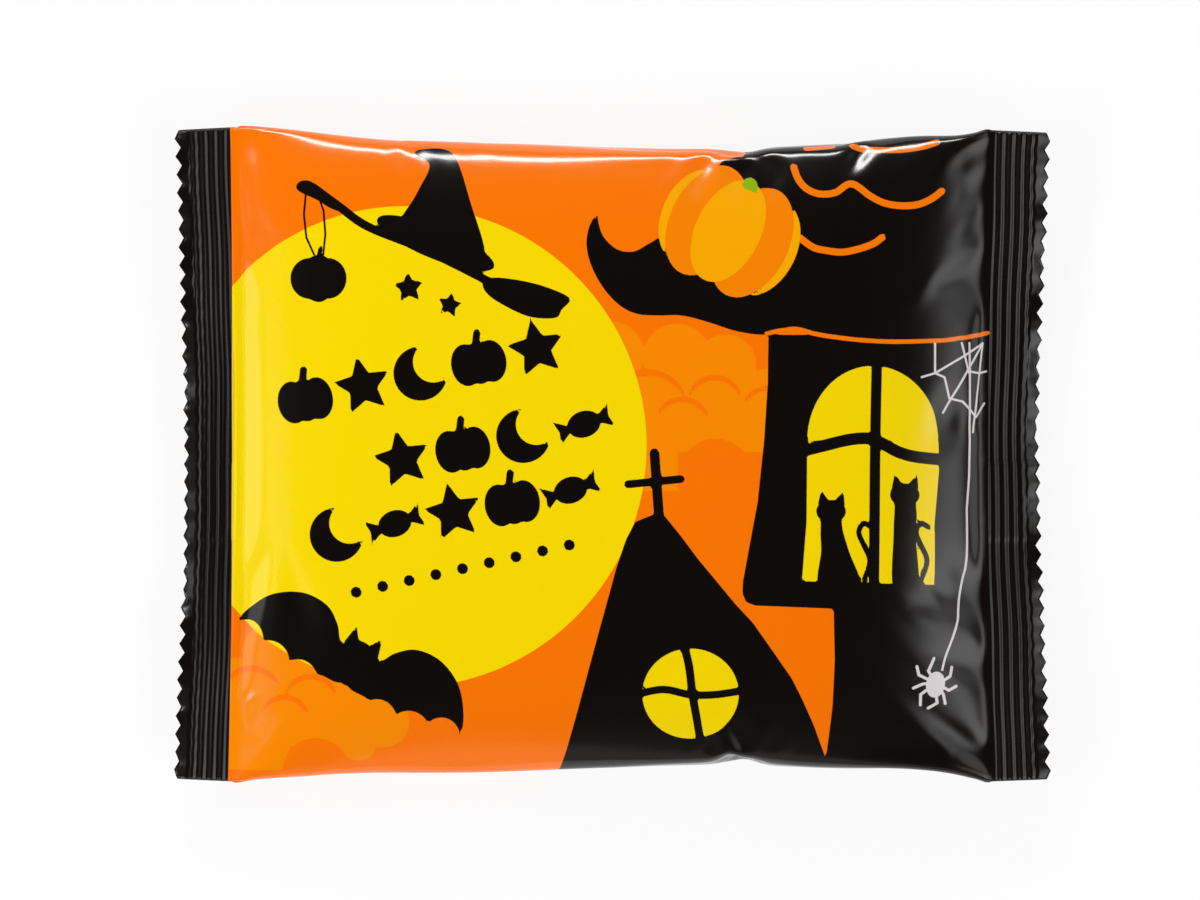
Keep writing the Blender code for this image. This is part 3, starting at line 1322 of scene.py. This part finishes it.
class Pack:
    """The relaxed film made into pieces: the tube, two crimped seals and the back flap."""

    def __init__(self, form: Form, crimp: Crimp, picture: Print) -> None:
        """Relaxes the film and works out where its surfaces lie.

        Args:
            form: The pillow form.
            crimp: Sizes of the end seals.
            picture: The print.
        """
        self.form = form
        self.crimp = crimp
        self.picture = picture
        self.sheet = relaxed_film(form)
        self.half_film = crimp.film / 2 * MM
        self.fit_x, self.fit_y = self.fitted_print()

    def fitted_print(self) -> tuple[np.ndarray, np.ndarray]:
        """Factors that give a smooth place on the front for each place on the flat film.

        They are the least-squares fit of the relaxed X and Y to V and U times even powers of
        both, so that single dents and creases don't shift the print.

        Returns:
            The factors along and across.
        """
        sheet = self.sheet
        rows, columns = np.abs(sheet.v) <= PRINT_EDGE_V, np.abs(sheet.u) <= PRINT_EDGE_U
        v, u = np.meshgrid(sheet.v[rows], sheet.u[columns], indexing="ij")
        front = sheet.points[:, rows][:, :, columns]
        along, across = print_terms(v, u)
        fit_x = np.linalg.lstsq(along.reshape(-1, 8), front[0].ravel() / MM, rcond=None)[0]
        fit_y = np.linalg.lstsq(across.reshape(-1, 8), front[1].ravel() / MM, rcond=None)[0]
        return fit_x, fit_y

    def print_place(self, v: np.ndarray, u: np.ndarray) -> Points:
        """Where the film's flat coordinates fall on the print, in millimetres.

        On the front it is the fitted place. Beyond the fit's edges it goes on at full size.

        Args:
            v: Place along the film.
            u: Place across the film.

        Returns:
            X and Y on the print.
        """
        held_v, held_u = np.clip(v, -PRINT_EDGE_V, PRINT_EDGE_V), np.clip(u, -PRINT_EDGE_U, PRINT_EDGE_U)
        along, across = print_terms(held_v, held_u)
        return along @ self.fit_x + (v - held_v) / MM, across @ self.fit_y + (u - held_u) / MM

    def normals(self) -> np.ndarray:
        """Outward normals of the tube, with the seals' own at its two ends.

        Returns:
            Three rows of unit vectors.
        """
        points = self.sheet.points
        around = np.roll(points, -1, 2) - np.roll(points, 1, 2)
        along = np.gradient(points, axis=1)
        found = unit(-np.cross(around, along, axis=0))
        quarter = self.sheet.columns // 4
        front = np.arange(-quarter, quarter + 1) % self.sheet.columns
        back = (self.sheet.columns // 2 - front) % self.sheet.columns
        flat = points[:, :, front]
        up = unit(np.cross(np.gradient(flat, axis=1), np.gradient(flat, axis=2), axis=0))
        rows = np.flatnonzero(self.sheet.sealed)
        found[:, rows[:, None], front] = up[:, rows]
        found[:, rows[:, None], back] = -up[:, rows]
        return found

    def side_round(self, u: np.ndarray) -> np.ndarray:
        """How thick the film is near the seals' sides: a quarter circle over the last stretch.

        Args:
            u: Place across the film.

        Returns:
            A share from 0 to 1.
        """
        edge = FLAT_WIDTH / 2 / MM
        from_edge = np.abs(edge - np.abs(u / MM))
        along = np.clip(1 - from_edge / self.crimp.round_edge, 0, 1)
        return np.sqrt(1 - along**2)

    def tube(self) -> bpy.types.Object:
        """The printed film between the seals, tucked a little way into each.

        Returns:
            The tube's object.
        """
        sheet = self.sheet
        normals = self.normals()
        open_rows = np.flatnonzero(~sheet.sealed)
        rows = np.arange(open_rows[0] - 1, open_rows[-1] + 2)
        thick = np.ones((len(rows), sheet.columns))
        thick[[0, -1]] = self.side_round(sheet.u)
        body = sheet.points[:, rows] + normals[:, rows] * self.half_film * thick
        points = np.concatenate([sheet.points[:, [rows[0] - 1]], body, sheet.points[:, [rows[-1] + 1]]], 1)
        points[2] = np.maximum(points[2], 0.01 * MM)
        place = sheet.v[rows[0] - 1:rows[-1] + 2]
        on_print = self.print_place(*np.meshgrid(place, sheet.u, indexing="ij"))
        count = len(place)
        faces = np.concatenate([
            grid_faces(count, sheet.columns, around=True)[:, ::-1],
            lid_faces(sheet.columns, 0, flip=False),
            lid_faces(sheet.columns, (count - 1) * sheet.columns, flip=True),
        ])
        return add_mesh("film_tube", points.reshape(3, -1).T, faces, on_print, self.picture.inks(on_print))

    def seal_middle(self, shape: SealShape) -> tuple[np.ndarray, np.ndarray, np.ndarray]:
        """The middle surface of one end seal, finer than the sheet, bent and waved.

        Returns:
            Its points, the distance of each row from the tube and the U of each column, the
            last two in millimetres.
        """
        sheet, crimp = self.sheet, self.crimp
        quarter = sheet.columns // 4
        front = np.arange(-quarter, quarter + 1) % sheet.columns
        sealed = np.flatnonzero(sheet.sealed & (np.sign(sheet.v) == shape.end))
        if shape.end < 0:
            sealed = sealed[::-1]
        coarse = sheet.points[:, sealed][:, :, front]
        away = np.linspace(0, self.form.seal_length / MM, crimp.rows)
        u = np.linspace(-FLAT_WIDTH / 2, FLAT_WIDTH / 2, crimp.teeth * crimp.columns_a_tooth + 1) / MM
        known = np.abs(sheet.v[sealed]) / MM - self.form.film_length / 2 / MM
        points = between(between(coarse, known, away, 1), sheet.u[front] / MM, u, 2)
        distance = np.broadcast_to(away[:, None], points[0].shape)
        return shape.bend(points, distance, crimp.ribbed), away, u

    def seal(self, shape: SealShape) -> bpy.types.Object:
        """One end seal: ribs pressed into both layers, a plain flange and a zigzag edge.

        Args:
            shape: How the seal bends.

        Returns:
            The seal's object.
        """
        crimp = self.crimp
        middle, away, u = self.seal_middle(shape)
        along, across = np.gradient(middle, axis=1), np.gradient(middle, axis=2)
        up = unit(shape.end * np.cross(along, across, axis=0))
        outward = unit(along)
        squeeze = (away / away[-1])[:, None] ** 6
        middle = middle - outward * squeeze * crimp.zigzag(u)[None, :] * MM
        wander = crimp.wander * np.sin(u / 4.7 + shape.end) * np.sin(u / 11.0 + 0.8)
        middle = middle + up * crimp.rib(away[:, None] + wander[None, :]) * MM
        lip = 1 - 0.35 * np.clip(1 - away / 0.2, 0, 1)[:, None]
        thick = self.half_film * self.side_round(u * MM)[None, :] * lip
        flap = FLAP.over(middle[1] / MM) * crimp.flap_step * MM
        upper, lower = middle + up * (thick + flap), middle - up * thick
        points = np.concatenate([upper, lower[:, :, -2:0:-1]], axis=2)
        rows, columns = points.shape[1:]
        v = shape.end * (self.form.film_length / 2 + away * MM)
        around = np.concatenate([u, 2 * FLAT_WIDTH / 2 / MM - u[-2:0:-1]]) * MM
        around = np.where(around > FLAT_WIDTH, around - GIRTH, around)
        on_print = self.print_place(*np.meshgrid(v, around, indexing="ij"))
        sides = grid_faces(rows, columns, around=True)
        inner, outer = seal_lid(columns, 0), seal_lid(columns, (rows - 1) * columns)[:, ::-1]
        faces = np.concatenate([sides, inner[:, ::-1], outer[:, ::-1]])
        if shape.end > 0:
            faces = faces[:, ::-1]
        faces = facing_out(points.reshape(3, -1).T, faces)
        name = "end_seal_left" if shape.end < 0 else "end_seal_right"
        return add_mesh(name, points.reshape(3, -1).T, faces, on_print, self.picture.inks(on_print))


def seal_lid(columns: int, first: int) -> np.ndarray:
    """Faces that close a ring whose second half runs back beneath its first.

    Args:
        columns: Columns of the grid, or points of the ring.
        first: Number of the ring's first point.

    Returns:
        Four points to a face.
    """
    side = columns // 2
    near = np.arange(side)
    far = (columns - near) % columns
    return np.stack([near, near + 1, (far - 1) % columns, far], axis=1) + first


def facing_out(points: np.ndarray, faces: np.ndarray) -> np.ndarray:
    """The faces, turned round if the volume that they enclose comes out less than nothing.

    Args:
        points: The points, in metres.
        faces: The faces, by point.

    Returns:
        The faces.
    """
    a, b, c, d = (points[faces[:, k]] for k in range(4))
    volume = (np.cross(b - a, c - a) * a).sum() + (np.cross(c - a, d - a) * a).sum()
    return faces if volume > 0 else faces[:, ::-1]


def between(grid: np.ndarray, known: np.ndarray, wanted: np.ndarray, axis: int) -> np.ndarray:
    """Reads a grid at new places along one axis, on the Catmull-Rom curve through its points.

    Args:
        grid: The grid of points.
        known: Where the grid's points lie.
        wanted: The distance or the places that are wanted.
        axis: The axis to read along.

    Returns:
        The grid at the wanted places.
    """
    place = np.interp(wanted, known, np.arange(len(known)))
    start = np.clip(place.astype(int), 0, len(known) - 2)
    shape = [1, 1, 1]
    shape[axis] = len(wanted)
    t = (place - start).reshape(shape)
    last = len(known) - 1
    a, b, c, d = (np.take(grid, np.clip(start + k, 0, last), axis=axis) for k in (-1, 0, 1, 2))
    return b + 0.5 * t * (c - a + t * (2 * a - 5 * b + 4 * c - d + t * (3 * (b - c) + d - a)))


@dataclass(frozen=True)
class BackFlap:
    """The lengthwise seal on the back: a flap folded flat, in millimetres."""

    root: float = -1.0
    edge: float = -13.1
    lift: float = 0.34
    thick: float = 0.24
    gap: float = 0.03
    columns: int = 26

    def over(self, y: np.ndarray) -> np.ndarray:
        """One where the flap lies behind the seal, fading over its edges."""
        return np.clip((self.root - y) / 0.35, 0, 1) * np.clip((y - self.edge) / 0.35, 0, 1)

    def build(self, pack: Pack) -> bpy.types.Object:
        """Carries the flap's flat section along the back of the film, one row for each of its.

        Args:
            pack: The pack that the flap lies on.

        Returns:
            The flap's object.
        """
        sheet = pack.sheet
        normals = pack.normals()
        across = np.linspace(self.root, self.edge, self.columns)
        u = -(FLAT_WIDTH / MM) - across
        order = np.argsort(sheet.u)
        known = sheet.u[order] / MM
        rows = np.arange(2, sheet.rows - 2)
        base = between(sheet.points[:, rows][:, :, order], known, u, 2)
        normal = unit(between(normals[:, rows][:, :, order], known, u, 2))
        along = np.linspace(0, 1, self.columns)
        round_ends = np.sqrt(1 - np.clip(np.abs(2 * along - 1) * 1.03 - 0.03, 0, 1) ** 16)
        away = np.abs(sheet.v[rows]) / MM - pack.form.film_length / 2 / MM
        rib = np.where(away > 0, pack.crimp.rib(away), 0.0)[:, None]
        start = pack.half_film / MM + self.gap
        for shape in SEALS:
            bent = (away > 0) & (np.sign(sheet.v[rows]) == shape.end)
            distance = np.broadcast_to(away[bent][:, None], base[0][bent].shape)
            base[:, bent] = shape.bend(base[:, bent], distance, pack.crimp.ribbed)
            slope = np.radians(shape.droop_at(base[1, bent] / MM))
            normal[:, bent] = np.stack([-shape.end * np.sin(slope), 0 * slope, -np.cos(slope)])
        near = base + normal * (start - rib) * MM
        far = near + normal * self.thick * round_ends * MM
        points = np.concatenate([near, far[:, :, ::-1]], axis=2)
        points[2] = np.maximum(points[2], 0.004 * MM)
        v = sheet.v[rows]
        print_u = np.concatenate([u, u[::-1]]) * MM
        on_print = pack.print_place(*np.meshgrid(v, print_u, indexing="ij"))
        count, columns = points.shape[1:]
        ends = [flat_lid(columns, 0), flat_lid(columns, (count - 1) * columns)[:, ::-1]]
        faces = np.concatenate([grid_faces(count, columns, around=True), *(e[:, ::-1] for e in ends)])
        faces = facing_out(points.reshape(3, -1).T, faces)
        return add_mesh("back_flap", points.reshape(3, -1).T, faces, on_print, pack.picture.inks(on_print))


FLAP = BackFlap()


def flat_lid(columns: int, first: int) -> np.ndarray:
    """Faces that close a ring whose second half mirrors its first, point for point."""
    near = np.arange(columns // 2 - 1)
    return np.stack([near, near + 1, columns - 2 - near, columns - 1 - near], axis=1) + first


# ----------------------------------------------------------------------------- the finishes


def linear(red: int, green: int, blue: int) -> tuple[float, float, float, float]:
    """A colour given as screen values, from 0 to 255, as the linear values that shaders take.

    Args:
        red: Red, 0 to 255.
        green: Green, 0 to 255.
        blue: Blue, 0 to 255.

    Returns:
        Red, green, blue and an alpha of 1.
    """
    parts = [value / 255 for value in (red, green, blue)]
    parts = [p / 12.92 if p <= 0.04045 else ((p + 0.055) / 1.055) ** 2.4 for p in parts]
    return (*parts, 1.0)


@dataclass(frozen=True)
class Palette:
    """The film's own orange and the colour of each ink on it."""

    film: tuple = linear(249, 117, 0)
    inks: tuple = (
        (Ink.CLOUD, linear(248, 137, 0)),
        (Ink.MOON, linear(246, 215, 0)),
        (Ink.BLACK, linear(13, 8, 6)),
        (Ink.WINDOW, linear(244, 213, 0)),
        (Ink.LINE, linear(246, 120, 0)),
        (Ink.LOBE, linear(246, 131, 0)),
        (Ink.LOBE_LIGHT, linear(248, 168, 0)),
        (Ink.STEM, linear(137, 180, 12)),
        (Ink.PALE, linear(218, 210, 212)),
    )


def add_node(
    tree: bpy.types.NodeTree, kind: str, inputs: dict | None = None, **settings: object,
) -> bpy.types.Node:
    """Adds a shader node, sets its properties and fills or joins its inputs.

    Args:
        tree: The tree that it goes in.
        kind: Its type, without the ShaderNode that every type starts with.
        inputs: Sockets or values by the name or number of the input that takes them.
        settings: Properties of the node, such as its operation.

    Returns:
        The node.
    """
    made = tree.nodes.new("ShaderNode" + kind)
    for label, value in settings.items():
        setattr(made, label, value)
    for label, value in (inputs or {}).items():
        if isinstance(value, bpy.types.NodeSocket):
            tree.links.new(value, made.inputs[label])
        else:
            made.inputs[label].default_value = value
    return made


class NodeGroup:
    """A shader node group under construction."""

    def __init__(self, name: str, inputs: dict, outputs: dict) -> None:
        """Makes the group with its sockets.

        Args:
            name: The group's name.
            inputs: Socket type and starting value of each input, by name.
            outputs: Socket type of each output, by name.
        """
        self.tree = bpy.data.node_groups.new(name, "ShaderNodeTree")
        for label, (kind, value) in inputs.items():
            socket = self.tree.interface.new_socket(label, in_out="INPUT", socket_type=kind)
            socket.default_value = value
        for label, kind in outputs.items():
            self.tree.interface.new_socket(label, in_out="OUTPUT", socket_type=kind)
        self.entry = self.tree.nodes.new("NodeGroupInput").outputs
        self.exit = self.tree.nodes.new("NodeGroupOutput").inputs

    def add(self, kind: str, inputs: dict | None = None, **settings: object) -> bpy.types.Node:
        """Adds a node to the group, as add_node does."""
        return add_node(self.tree, kind, inputs, **settings)

    def finished(self, outputs: dict) -> bpy.types.ShaderNodeTree:
        """Joins a socket to each named output.

        Args:
            outputs: The socket that each output takes, by the output's name.

        Returns:
            The group's tree.
        """
        for label, source in outputs.items():
            self.tree.links.new(source, self.exit[label])
        return self.tree


def ink_group() -> bpy.types.ShaderNodeTree:
    """Lays one ink over what is under it, with a crisp edge a few hundredths of a mm wide.

    Returns:
        The group's tree.
    """
    group = NodeGroup(
        "ink_over",
        {
            "Under": ("NodeSocketColor", (1, 1, 1, 1)),
            "Ink": ("NodeSocketColor", (0, 0, 0, 1)),
            "Distance": ("NodeSocketFloat", 1.0),
            "Softness": ("NodeSocketFloat", 0.05),
        },
        {"Color": "NodeSocketColor", "Mask": "NodeSocketFloat"},
    )
    entry = group.entry
    minus = group.add("Math", {0: entry["Softness"], 1: -1.0}, operation="MULTIPLY")
    mask = group.add("MapRange", {
        "Value": entry["Distance"], "From Min": minus.outputs[0], "From Max": entry["Softness"],
        "To Min": 1.0, "To Max": 0.0,
    }, interpolation_type="SMOOTHSTEP").outputs["Result"]
    mix = group.add("Mix", data_type="RGBA")
    group.tree.links.new(mask, mix.inputs["Factor"])
    group.tree.links.new(entry["Under"], mix.inputs["A"])
    group.tree.links.new(entry["Ink"], mix.inputs["B"])
    return group.finished({"Color": mix.outputs["Result"], "Mask": mask})


def stroke_group() -> bpy.types.ShaderNodeTree:
    """Distance outside a straight stroke of the print, or what was nearer before it.

    The nearest point of the stroke is its start plus a share of its run: the share is the place's
    offset along the run over the run's squared length, held between 0 and 1.

    Returns:
        The group's tree.
    """
    group = NodeGroup(
        "thin_stroke",
        {
            "Place": ("NodeSocketVector", (0, 0, 0)),
            "Start": ("NodeSocketVector", (0, 0, 0)),
            "Run": ("NodeSocketVector", (1, 0, 0)),
            "Over Squared Length": ("NodeSocketFloat", 1.0),
            "Half Width": ("NodeSocketFloat", 0.2),
            "Before": ("NodeSocketFloat", 2.0),
        },
        {"Distance": "NodeSocketFloat"},
    )
    entry = group.entry
    offset = group.add("VectorMath", {0: entry["Place"], 1: entry["Start"]}, operation="SUBTRACT")
    offset = offset.outputs["Vector"]
    along = group.add("VectorMath", {0: offset, 1: entry["Run"]}, operation="DOT_PRODUCT")
    share = group.add(
        "Math", {0: along.outputs["Value"], 1: entry["Over Squared Length"]},
        operation="MULTIPLY", use_clamp=True,
    )
    nearest = group.add("VectorMath", {0: entry["Run"], "Scale": share.outputs[0]}, operation="SCALE")
    rest = group.add("VectorMath", {0: offset, 1: nearest.outputs["Vector"]}, operation="SUBTRACT")
    away = group.add("VectorMath", {0: rest.outputs["Vector"]}, operation="LENGTH")
    outside = group.add("Math", {0: away.outputs["Value"], 1: entry["Half Width"]}, operation="SUBTRACT")
    least = group.add("Math", {0: outside.outputs[0], 1: entry["Before"]}, operation="MINIMUM")
    return group.finished({"Distance": least.outputs[0]})


def print_group(
    palette: Palette, picture: Print, ink_over: bpy.types.ShaderNodeTree,
) -> bpy.types.ShaderNodeTree:
    """The whole print: every ink laid over the film in order, thin strokes worked out here.

    Args:
        palette: The colours of the film and the inks.
        picture: The print, for its thin strokes.
        ink_over: The group that lays one ink.

    Returns:
        The group's tree.
    """
    group = NodeGroup("film_print", {}, {"Color": "NodeSocketColor"})
    thin = stroke_group()
    place = group.add("Attribute", attribute_name=PRINT_PLACE).outputs["Vector"]
    strokes = {Ink.BLACK: picture.thin_black(), Ink.PALE: picture.thin_pale()}
    colour = group.add("RGB").outputs[0]
    colour.default_value = palette.film
    for ink, shade in palette.inks:
        least = group.add("Attribute", attribute_name=ink.value).outputs["Fac"]
        for ax, ay, bx, by, width in strokes.get(ink, ()):
            least = group.add("Group", node_tree=thin, inputs={
                "Place": place, "Start": (ax, ay, 0), "Run": (bx - ax, by - ay, 0),
                "Over Squared Length": 1 / ((bx - ax) ** 2 + (by - ay) ** 2),
                "Half Width": width / 2, "Before": least,
            }).outputs["Distance"]
        laid = {"Under": colour, "Ink": shade, "Distance": least}
        colour = group.add("Group", laid, node_tree=ink_over).outputs["Color"]
    return group.finished({"Color": colour})


def film_group() -> bpy.types.ShaderNodeTree:
    """Unevenness of thin film: faint mottling, slightly varied gloss and a fine ripple.

    Returns:
        The group's tree.
    """
    group = NodeGroup(
        "film_unevenness",
        {
            "Color": ("NodeSocketColor", (1, 1, 1, 1)),
            "Mottle": ("NodeSocketFloat", 0.04),
            "Gloss": ("NodeSocketFloat", 0.16),
            "Gloss Range": ("NodeSocketFloat", 0.06),
            "Ripple": ("NodeSocketFloat", 0.1),
            "Relief": ("NodeSocketFloat", 1.0),
        },
        {"Color": "NodeSocketColor", "Roughness": "NodeSocketFloat", "Height": "NodeSocketFloat"},
    )
    entry = group.entry
    place = group.add("TexCoord").outputs["Object"]
    broad, fine, grain, bumps = (
        group.add("TexNoise", {"Scale": scale, "Detail": detail, "Vector": place}).outputs["Fac"]
        for scale, detail in ((160.0, 2.0), (620.0, 2.0), (5200.0, 1.0), (300.0, 1.0))
    )
    less = group.add("Math", {0: 1.0, 1: entry["Mottle"]}, operation="SUBTRACT").outputs[0]
    shade = group.add("MapRange", {"Value": grain, "To Min": 1.0, "To Max": less}).outputs["Result"]
    tint = group.add("VectorMath", {0: entry["Color"], "Scale": shade}, operation="SCALE")
    glossy = {0: broad, 1: entry["Gloss Range"], 2: entry["Gloss"]}
    gloss = group.add("Math", glossy, operation="MULTIPLY_ADD")
    away = group.add("VectorMath", {0: place}, operation="LENGTH").outputs["Value"]
    middle = group.add("MapRange", {
        "Value": away, "From Min": 0.030, "From Max": 0.044, "To Min": 1.0, "To Max": 0.0,
    }, interpolation_type="SMOOTHSTEP").outputs["Result"]
    pressed = group.add("Math", {0: middle, 1: entry["Relief"]}, operation="MULTIPLY").outputs[0]
    raised = group.add("Math", {0: bumps, 1: pressed}, operation="MULTIPLY").outputs[0]
    height = group.add("Math", {0: fine, 1: entry["Ripple"], 2: raised}, operation="MULTIPLY_ADD")
    return group.finished({
        "Color": tint.outputs["Vector"], "Roughness": gloss.outputs[0], "Height": height.outputs[0],
    })


@dataclass(frozen=True)
class FilmFinish:
    """Glossy printed film: how rough, how varied in gloss, how rippled, how raised in its middle and how
    mottled.
    """

    name: str
    gloss: float
    gloss_range: float
    ripple: float
    relief: float
    mottle: float = 0.03

    def build(
        self, picture: bpy.types.ShaderNodeTree, uneven: bpy.types.ShaderNodeTree,
    ) -> bpy.types.Material:
        """The print's colour under a clear gloss.

        Args:
            picture: The group that gives the print's colour.
            uneven: The group that gives the film's unevenness.

        Returns:
            The material.
        """
        material = bpy.data.materials.new(self.name)
        material.use_nodes = True
        tree = material.node_tree
        shader = tree.nodes["Principled BSDF"]
        shader.inputs["IOR"].default_value = 1.48
        shader.inputs["Coat Weight"].default_value = 0.12
        shader.inputs["Coat Roughness"].default_value = 0.05
        printed = add_node(tree, "Group", node_tree=picture)
        film = add_node(tree, "Group", node_tree=uneven, inputs={
            "Color": printed.outputs["Color"], "Mottle": self.mottle, "Gloss": self.gloss,
            "Gloss Range": self.gloss_range, "Ripple": self.ripple, "Relief": self.relief,
        }).outputs
        bump = add_node(tree, "Bump", {"Distance": 0.1 * MM, "Height": film["Height"]})
        tree.links.new(film["Color"], shader.inputs["Base Color"])
        tree.links.new(film["Roughness"], shader.inputs["Roughness"])
        tree.links.new(bump.outputs["Normal"], shader.inputs["Normal"])
        return material


# ------------------------------------------------------------------------------- the studio


@dataclass(frozen=True)
class Lamp:
    """A soft rectangular lamp aimed at the pack.

    Its place is given by the compass angle and the height above the floor, both in degrees,
    its sides in metres, and its strength by how much it lights a level surface.
    """

    name: str
    compass: float
    above: float
    wide: float
    tall: float
    light: float
    reflected: bool = True
    away: float = 1.4

    def build(self) -> None:
        """Adds the lamp. Its power is the light times pi times distance squared over sine."""
        turn, lift = math.radians(self.compass), math.radians(self.above)
        place = np.array([math.cos(turn) * math.cos(lift), math.sin(turn) * math.cos(lift), math.sin(lift)])
        lamp = bpy.data.lights.new(self.name, "AREA")
        lamp.shape = "RECTANGLE"
        lamp.size, lamp.size_y = self.wide, self.tall
        lamp.energy = self.light * math.pi * self.away**2 / math.sin(lift)
        made = bpy.data.objects.new(self.name, lamp)
        made.visible_glossy = self.reflected
        made.location = place * self.away
        made.rotation_euler = direction(-place)
        bpy.context.scene.collection.objects.link(made)


def direction(aim: np.ndarray) -> tuple[float, float, float]:
    """Euler turn that points an object's own -Z along aim, with its Y upright."""
    return Vector(aim).to_track_quat("-Z", "Y").to_euler()


@dataclass(frozen=True)
class Studio:
    """A pale floor, soft lamps low round the pack, and a camera straight above it."""

    lamps: tuple = (
        Lamp("lamp_left", 152, 34, 0.17, 0.15, 0.17),
        Lamp("lamp_far", 99, 24, 0.85, 0.16, 0.74),
        Lamp("lamp_left_low", 212, 25, 0.24, 0.20, 0.22),
        Lamp("fill_left", 196, 34, 0.90, 0.50, 0.84, reflected=False),
        Lamp("fill_right", -50, 32, 0.90, 0.50, 0.46, reflected=False),
    )
    overhead: float = 0.03
    horizon: float = 0.15
    glows: tuple = ((-24, 30, 34, 2.2), (30, 26, 30, 0.9), (-84, 16, 20, 0.3), (180, 4, 13, 1.2))
    floor_glow: float = 0.88
    frame_width: float = 0.1829
    aside: tuple = (-0.0018, 0.0008)
    distance: float = 1.3

    def build(self) -> None:
        """Makes the floor, the world, the lamps and the camera."""
        self.floor()
        self.world()
        for lamp in self.lamps:
            lamp.build()
        self.camera()
        bpy.context.scene.view_settings.view_transform = "Standard"

    def floor(self) -> None:
        """A white floor, bright to the camera, that still takes the pack's shadow."""
        bpy.ops.mesh.primitive_plane_add(size=6.0, location=(0, 0, 0))
        floor = bpy.context.object
        floor.name = "floor"
        material = bpy.data.materials.new("floor_white")
        material.use_nodes = True
        tree = material.node_tree
        shader = tree.nodes["Principled BSDF"]
        shader.inputs["Base Color"].default_value = (0.94, 0.94, 0.94, 1)
        shader.inputs["Roughness"].default_value = 1.0
        glow = add_node(tree, "Emission", {"Strength": 1.0}).outputs[0]
        path = add_node(tree, "LightPath").outputs
        rays = {0: path["Is Camera Ray"], 1: path["Is Glossy Ray"]}
        seen = add_node(tree, "Math", rays, operation="MAXIMUM").outputs[0]
        share = add_node(tree, "Math", {0: seen, 1: self.floor_glow}, operation="MULTIPLY").outputs[0]
        mix = add_node(tree, "MixShader", {"Fac": share, 1: shader.outputs[0], 2: glow})
        tree.links.new(mix.outputs[0], tree.nodes["Material Output"].inputs["Surface"])
        floor.data.materials.append(material)

    def world(self) -> None:
        """White behind everything, and a dim, plain surround for what it lights."""
        world = bpy.data.worlds.new("studio")
        bpy.context.scene.world = world
        world.use_nodes = True
        tree = world.node_tree
        background = tree.nodes["Background"]
        background.inputs["Strength"].default_value = 1.0
        path = add_node(tree, "LightPath").outputs
        place = add_node(tree, "TexCoord").outputs["Generated"]
        height = add_node(tree, "SeparateXYZ", {"Vector": place}).outputs["Z"]
        light = add_node(tree, "MapRange", {
            "Value": height, "From Min": 0.42, "From Max": 0.95,
            "To Min": self.horizon, "To Max": self.overhead,
        }, interpolation_type="SMOOTHSTEP").outputs["Result"]
        for glow in self.glows:
            light = self.glow(tree, place, light, *glow)
        seen = {"Factor": path["Is Camera Ray"], "A": light, "B": (1, 1, 1, 1)}
        mix = add_node(tree, "Mix", seen, data_type="RGBA")
        tree.links.new(mix.outputs["Result"], background.inputs["Color"])

    @staticmethod
    def glow(
        tree: bpy.types.NodeTree, place: bpy.types.NodeSocket, before: bpy.types.NodeSocket,
        compass: float, above: float, reach: float, strength: float,
    ) -> bpy.types.NodeSocket:
        """Adds a soft round glow to the surround: strongest at its middle, nothing at its reach.

        Args:
            tree: The world's nodes.
            place: The direction that is looked in.
            before: The light so far.
            compass: The glow's compass angle, in degrees.
            above: Its height, in degrees.
            reach: Its radius, in degrees.
            strength: Its light in the middle.

        Returns:
            The light with the glow.
        """
        turn, lift = math.radians(compass), math.radians(above)
        aim = (math.cos(turn) * math.cos(lift), math.sin(turn) * math.cos(lift), math.sin(lift))
        near = add_node(tree, "VectorMath", {0: place, 1: aim}, operation="DOT_PRODUCT")
        shine = add_node(tree, "MapRange", {
            "Value": near.outputs["Value"], "From Min": math.cos(math.radians(reach)), "To Max": strength,
        }, interpolation_type="SMOOTHSTEP")
        total = add_node(tree, "Math", {0: before, 1: shine.outputs["Result"]}, operation="ADD")
        return total.outputs[0]

    def camera(self) -> None:
        """A long lens looking straight down."""
        lens = bpy.data.cameras.new("camera")
        lens.sensor_width = 36.0
        lens.lens = 36.0 * self.distance / self.frame_width
        lens.clip_end = 20.0
        camera = bpy.data.objects.new("camera", lens)
        camera.location = (*self.aside, self.distance + HEIGHT / 2)
        bpy.context.scene.collection.objects.link(camera)
        bpy.context.scene.camera = camera


# --------------------------------------------------------------------------------- together


def main() -> None:
    """Builds the studio, the film's pieces and their finish."""
    logging.basicConfig(level=logging.INFO, format="%(message)s")
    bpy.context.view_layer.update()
    Studio().build()
    picture = Print()
    pack = Pack(Form(), Crimp(), picture)
    printed = print_group(Palette(), picture, ink_group())
    uneven = film_group()
    smooth = FilmFinish("printed_film", gloss=0.13, gloss_range=0.06, ripple=0.08, relief=0.8)
    pressed = FilmFinish("crimped_film", gloss=0.18, gloss_range=0.10, ripple=0.16, relief=0.0)
    smooth_film, pressed_film = (finish.build(printed, uneven) for finish in (smooth, pressed))
    pieces = [(pack.tube(), smooth_film)]
    pieces += [(pack.seal(shape), pressed_film) for shape in SEALS]
    pieces += [(FLAP.build(pack), smooth_film)]
    for piece, material in pieces:
        piece.data.materials.append(material)
        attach(piece, BODY_NAME)
        log.info("%s: %d faces", piece.name, len(piece.data.polygons))
    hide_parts(NODE)


if __name__ == "__main__":
    main()
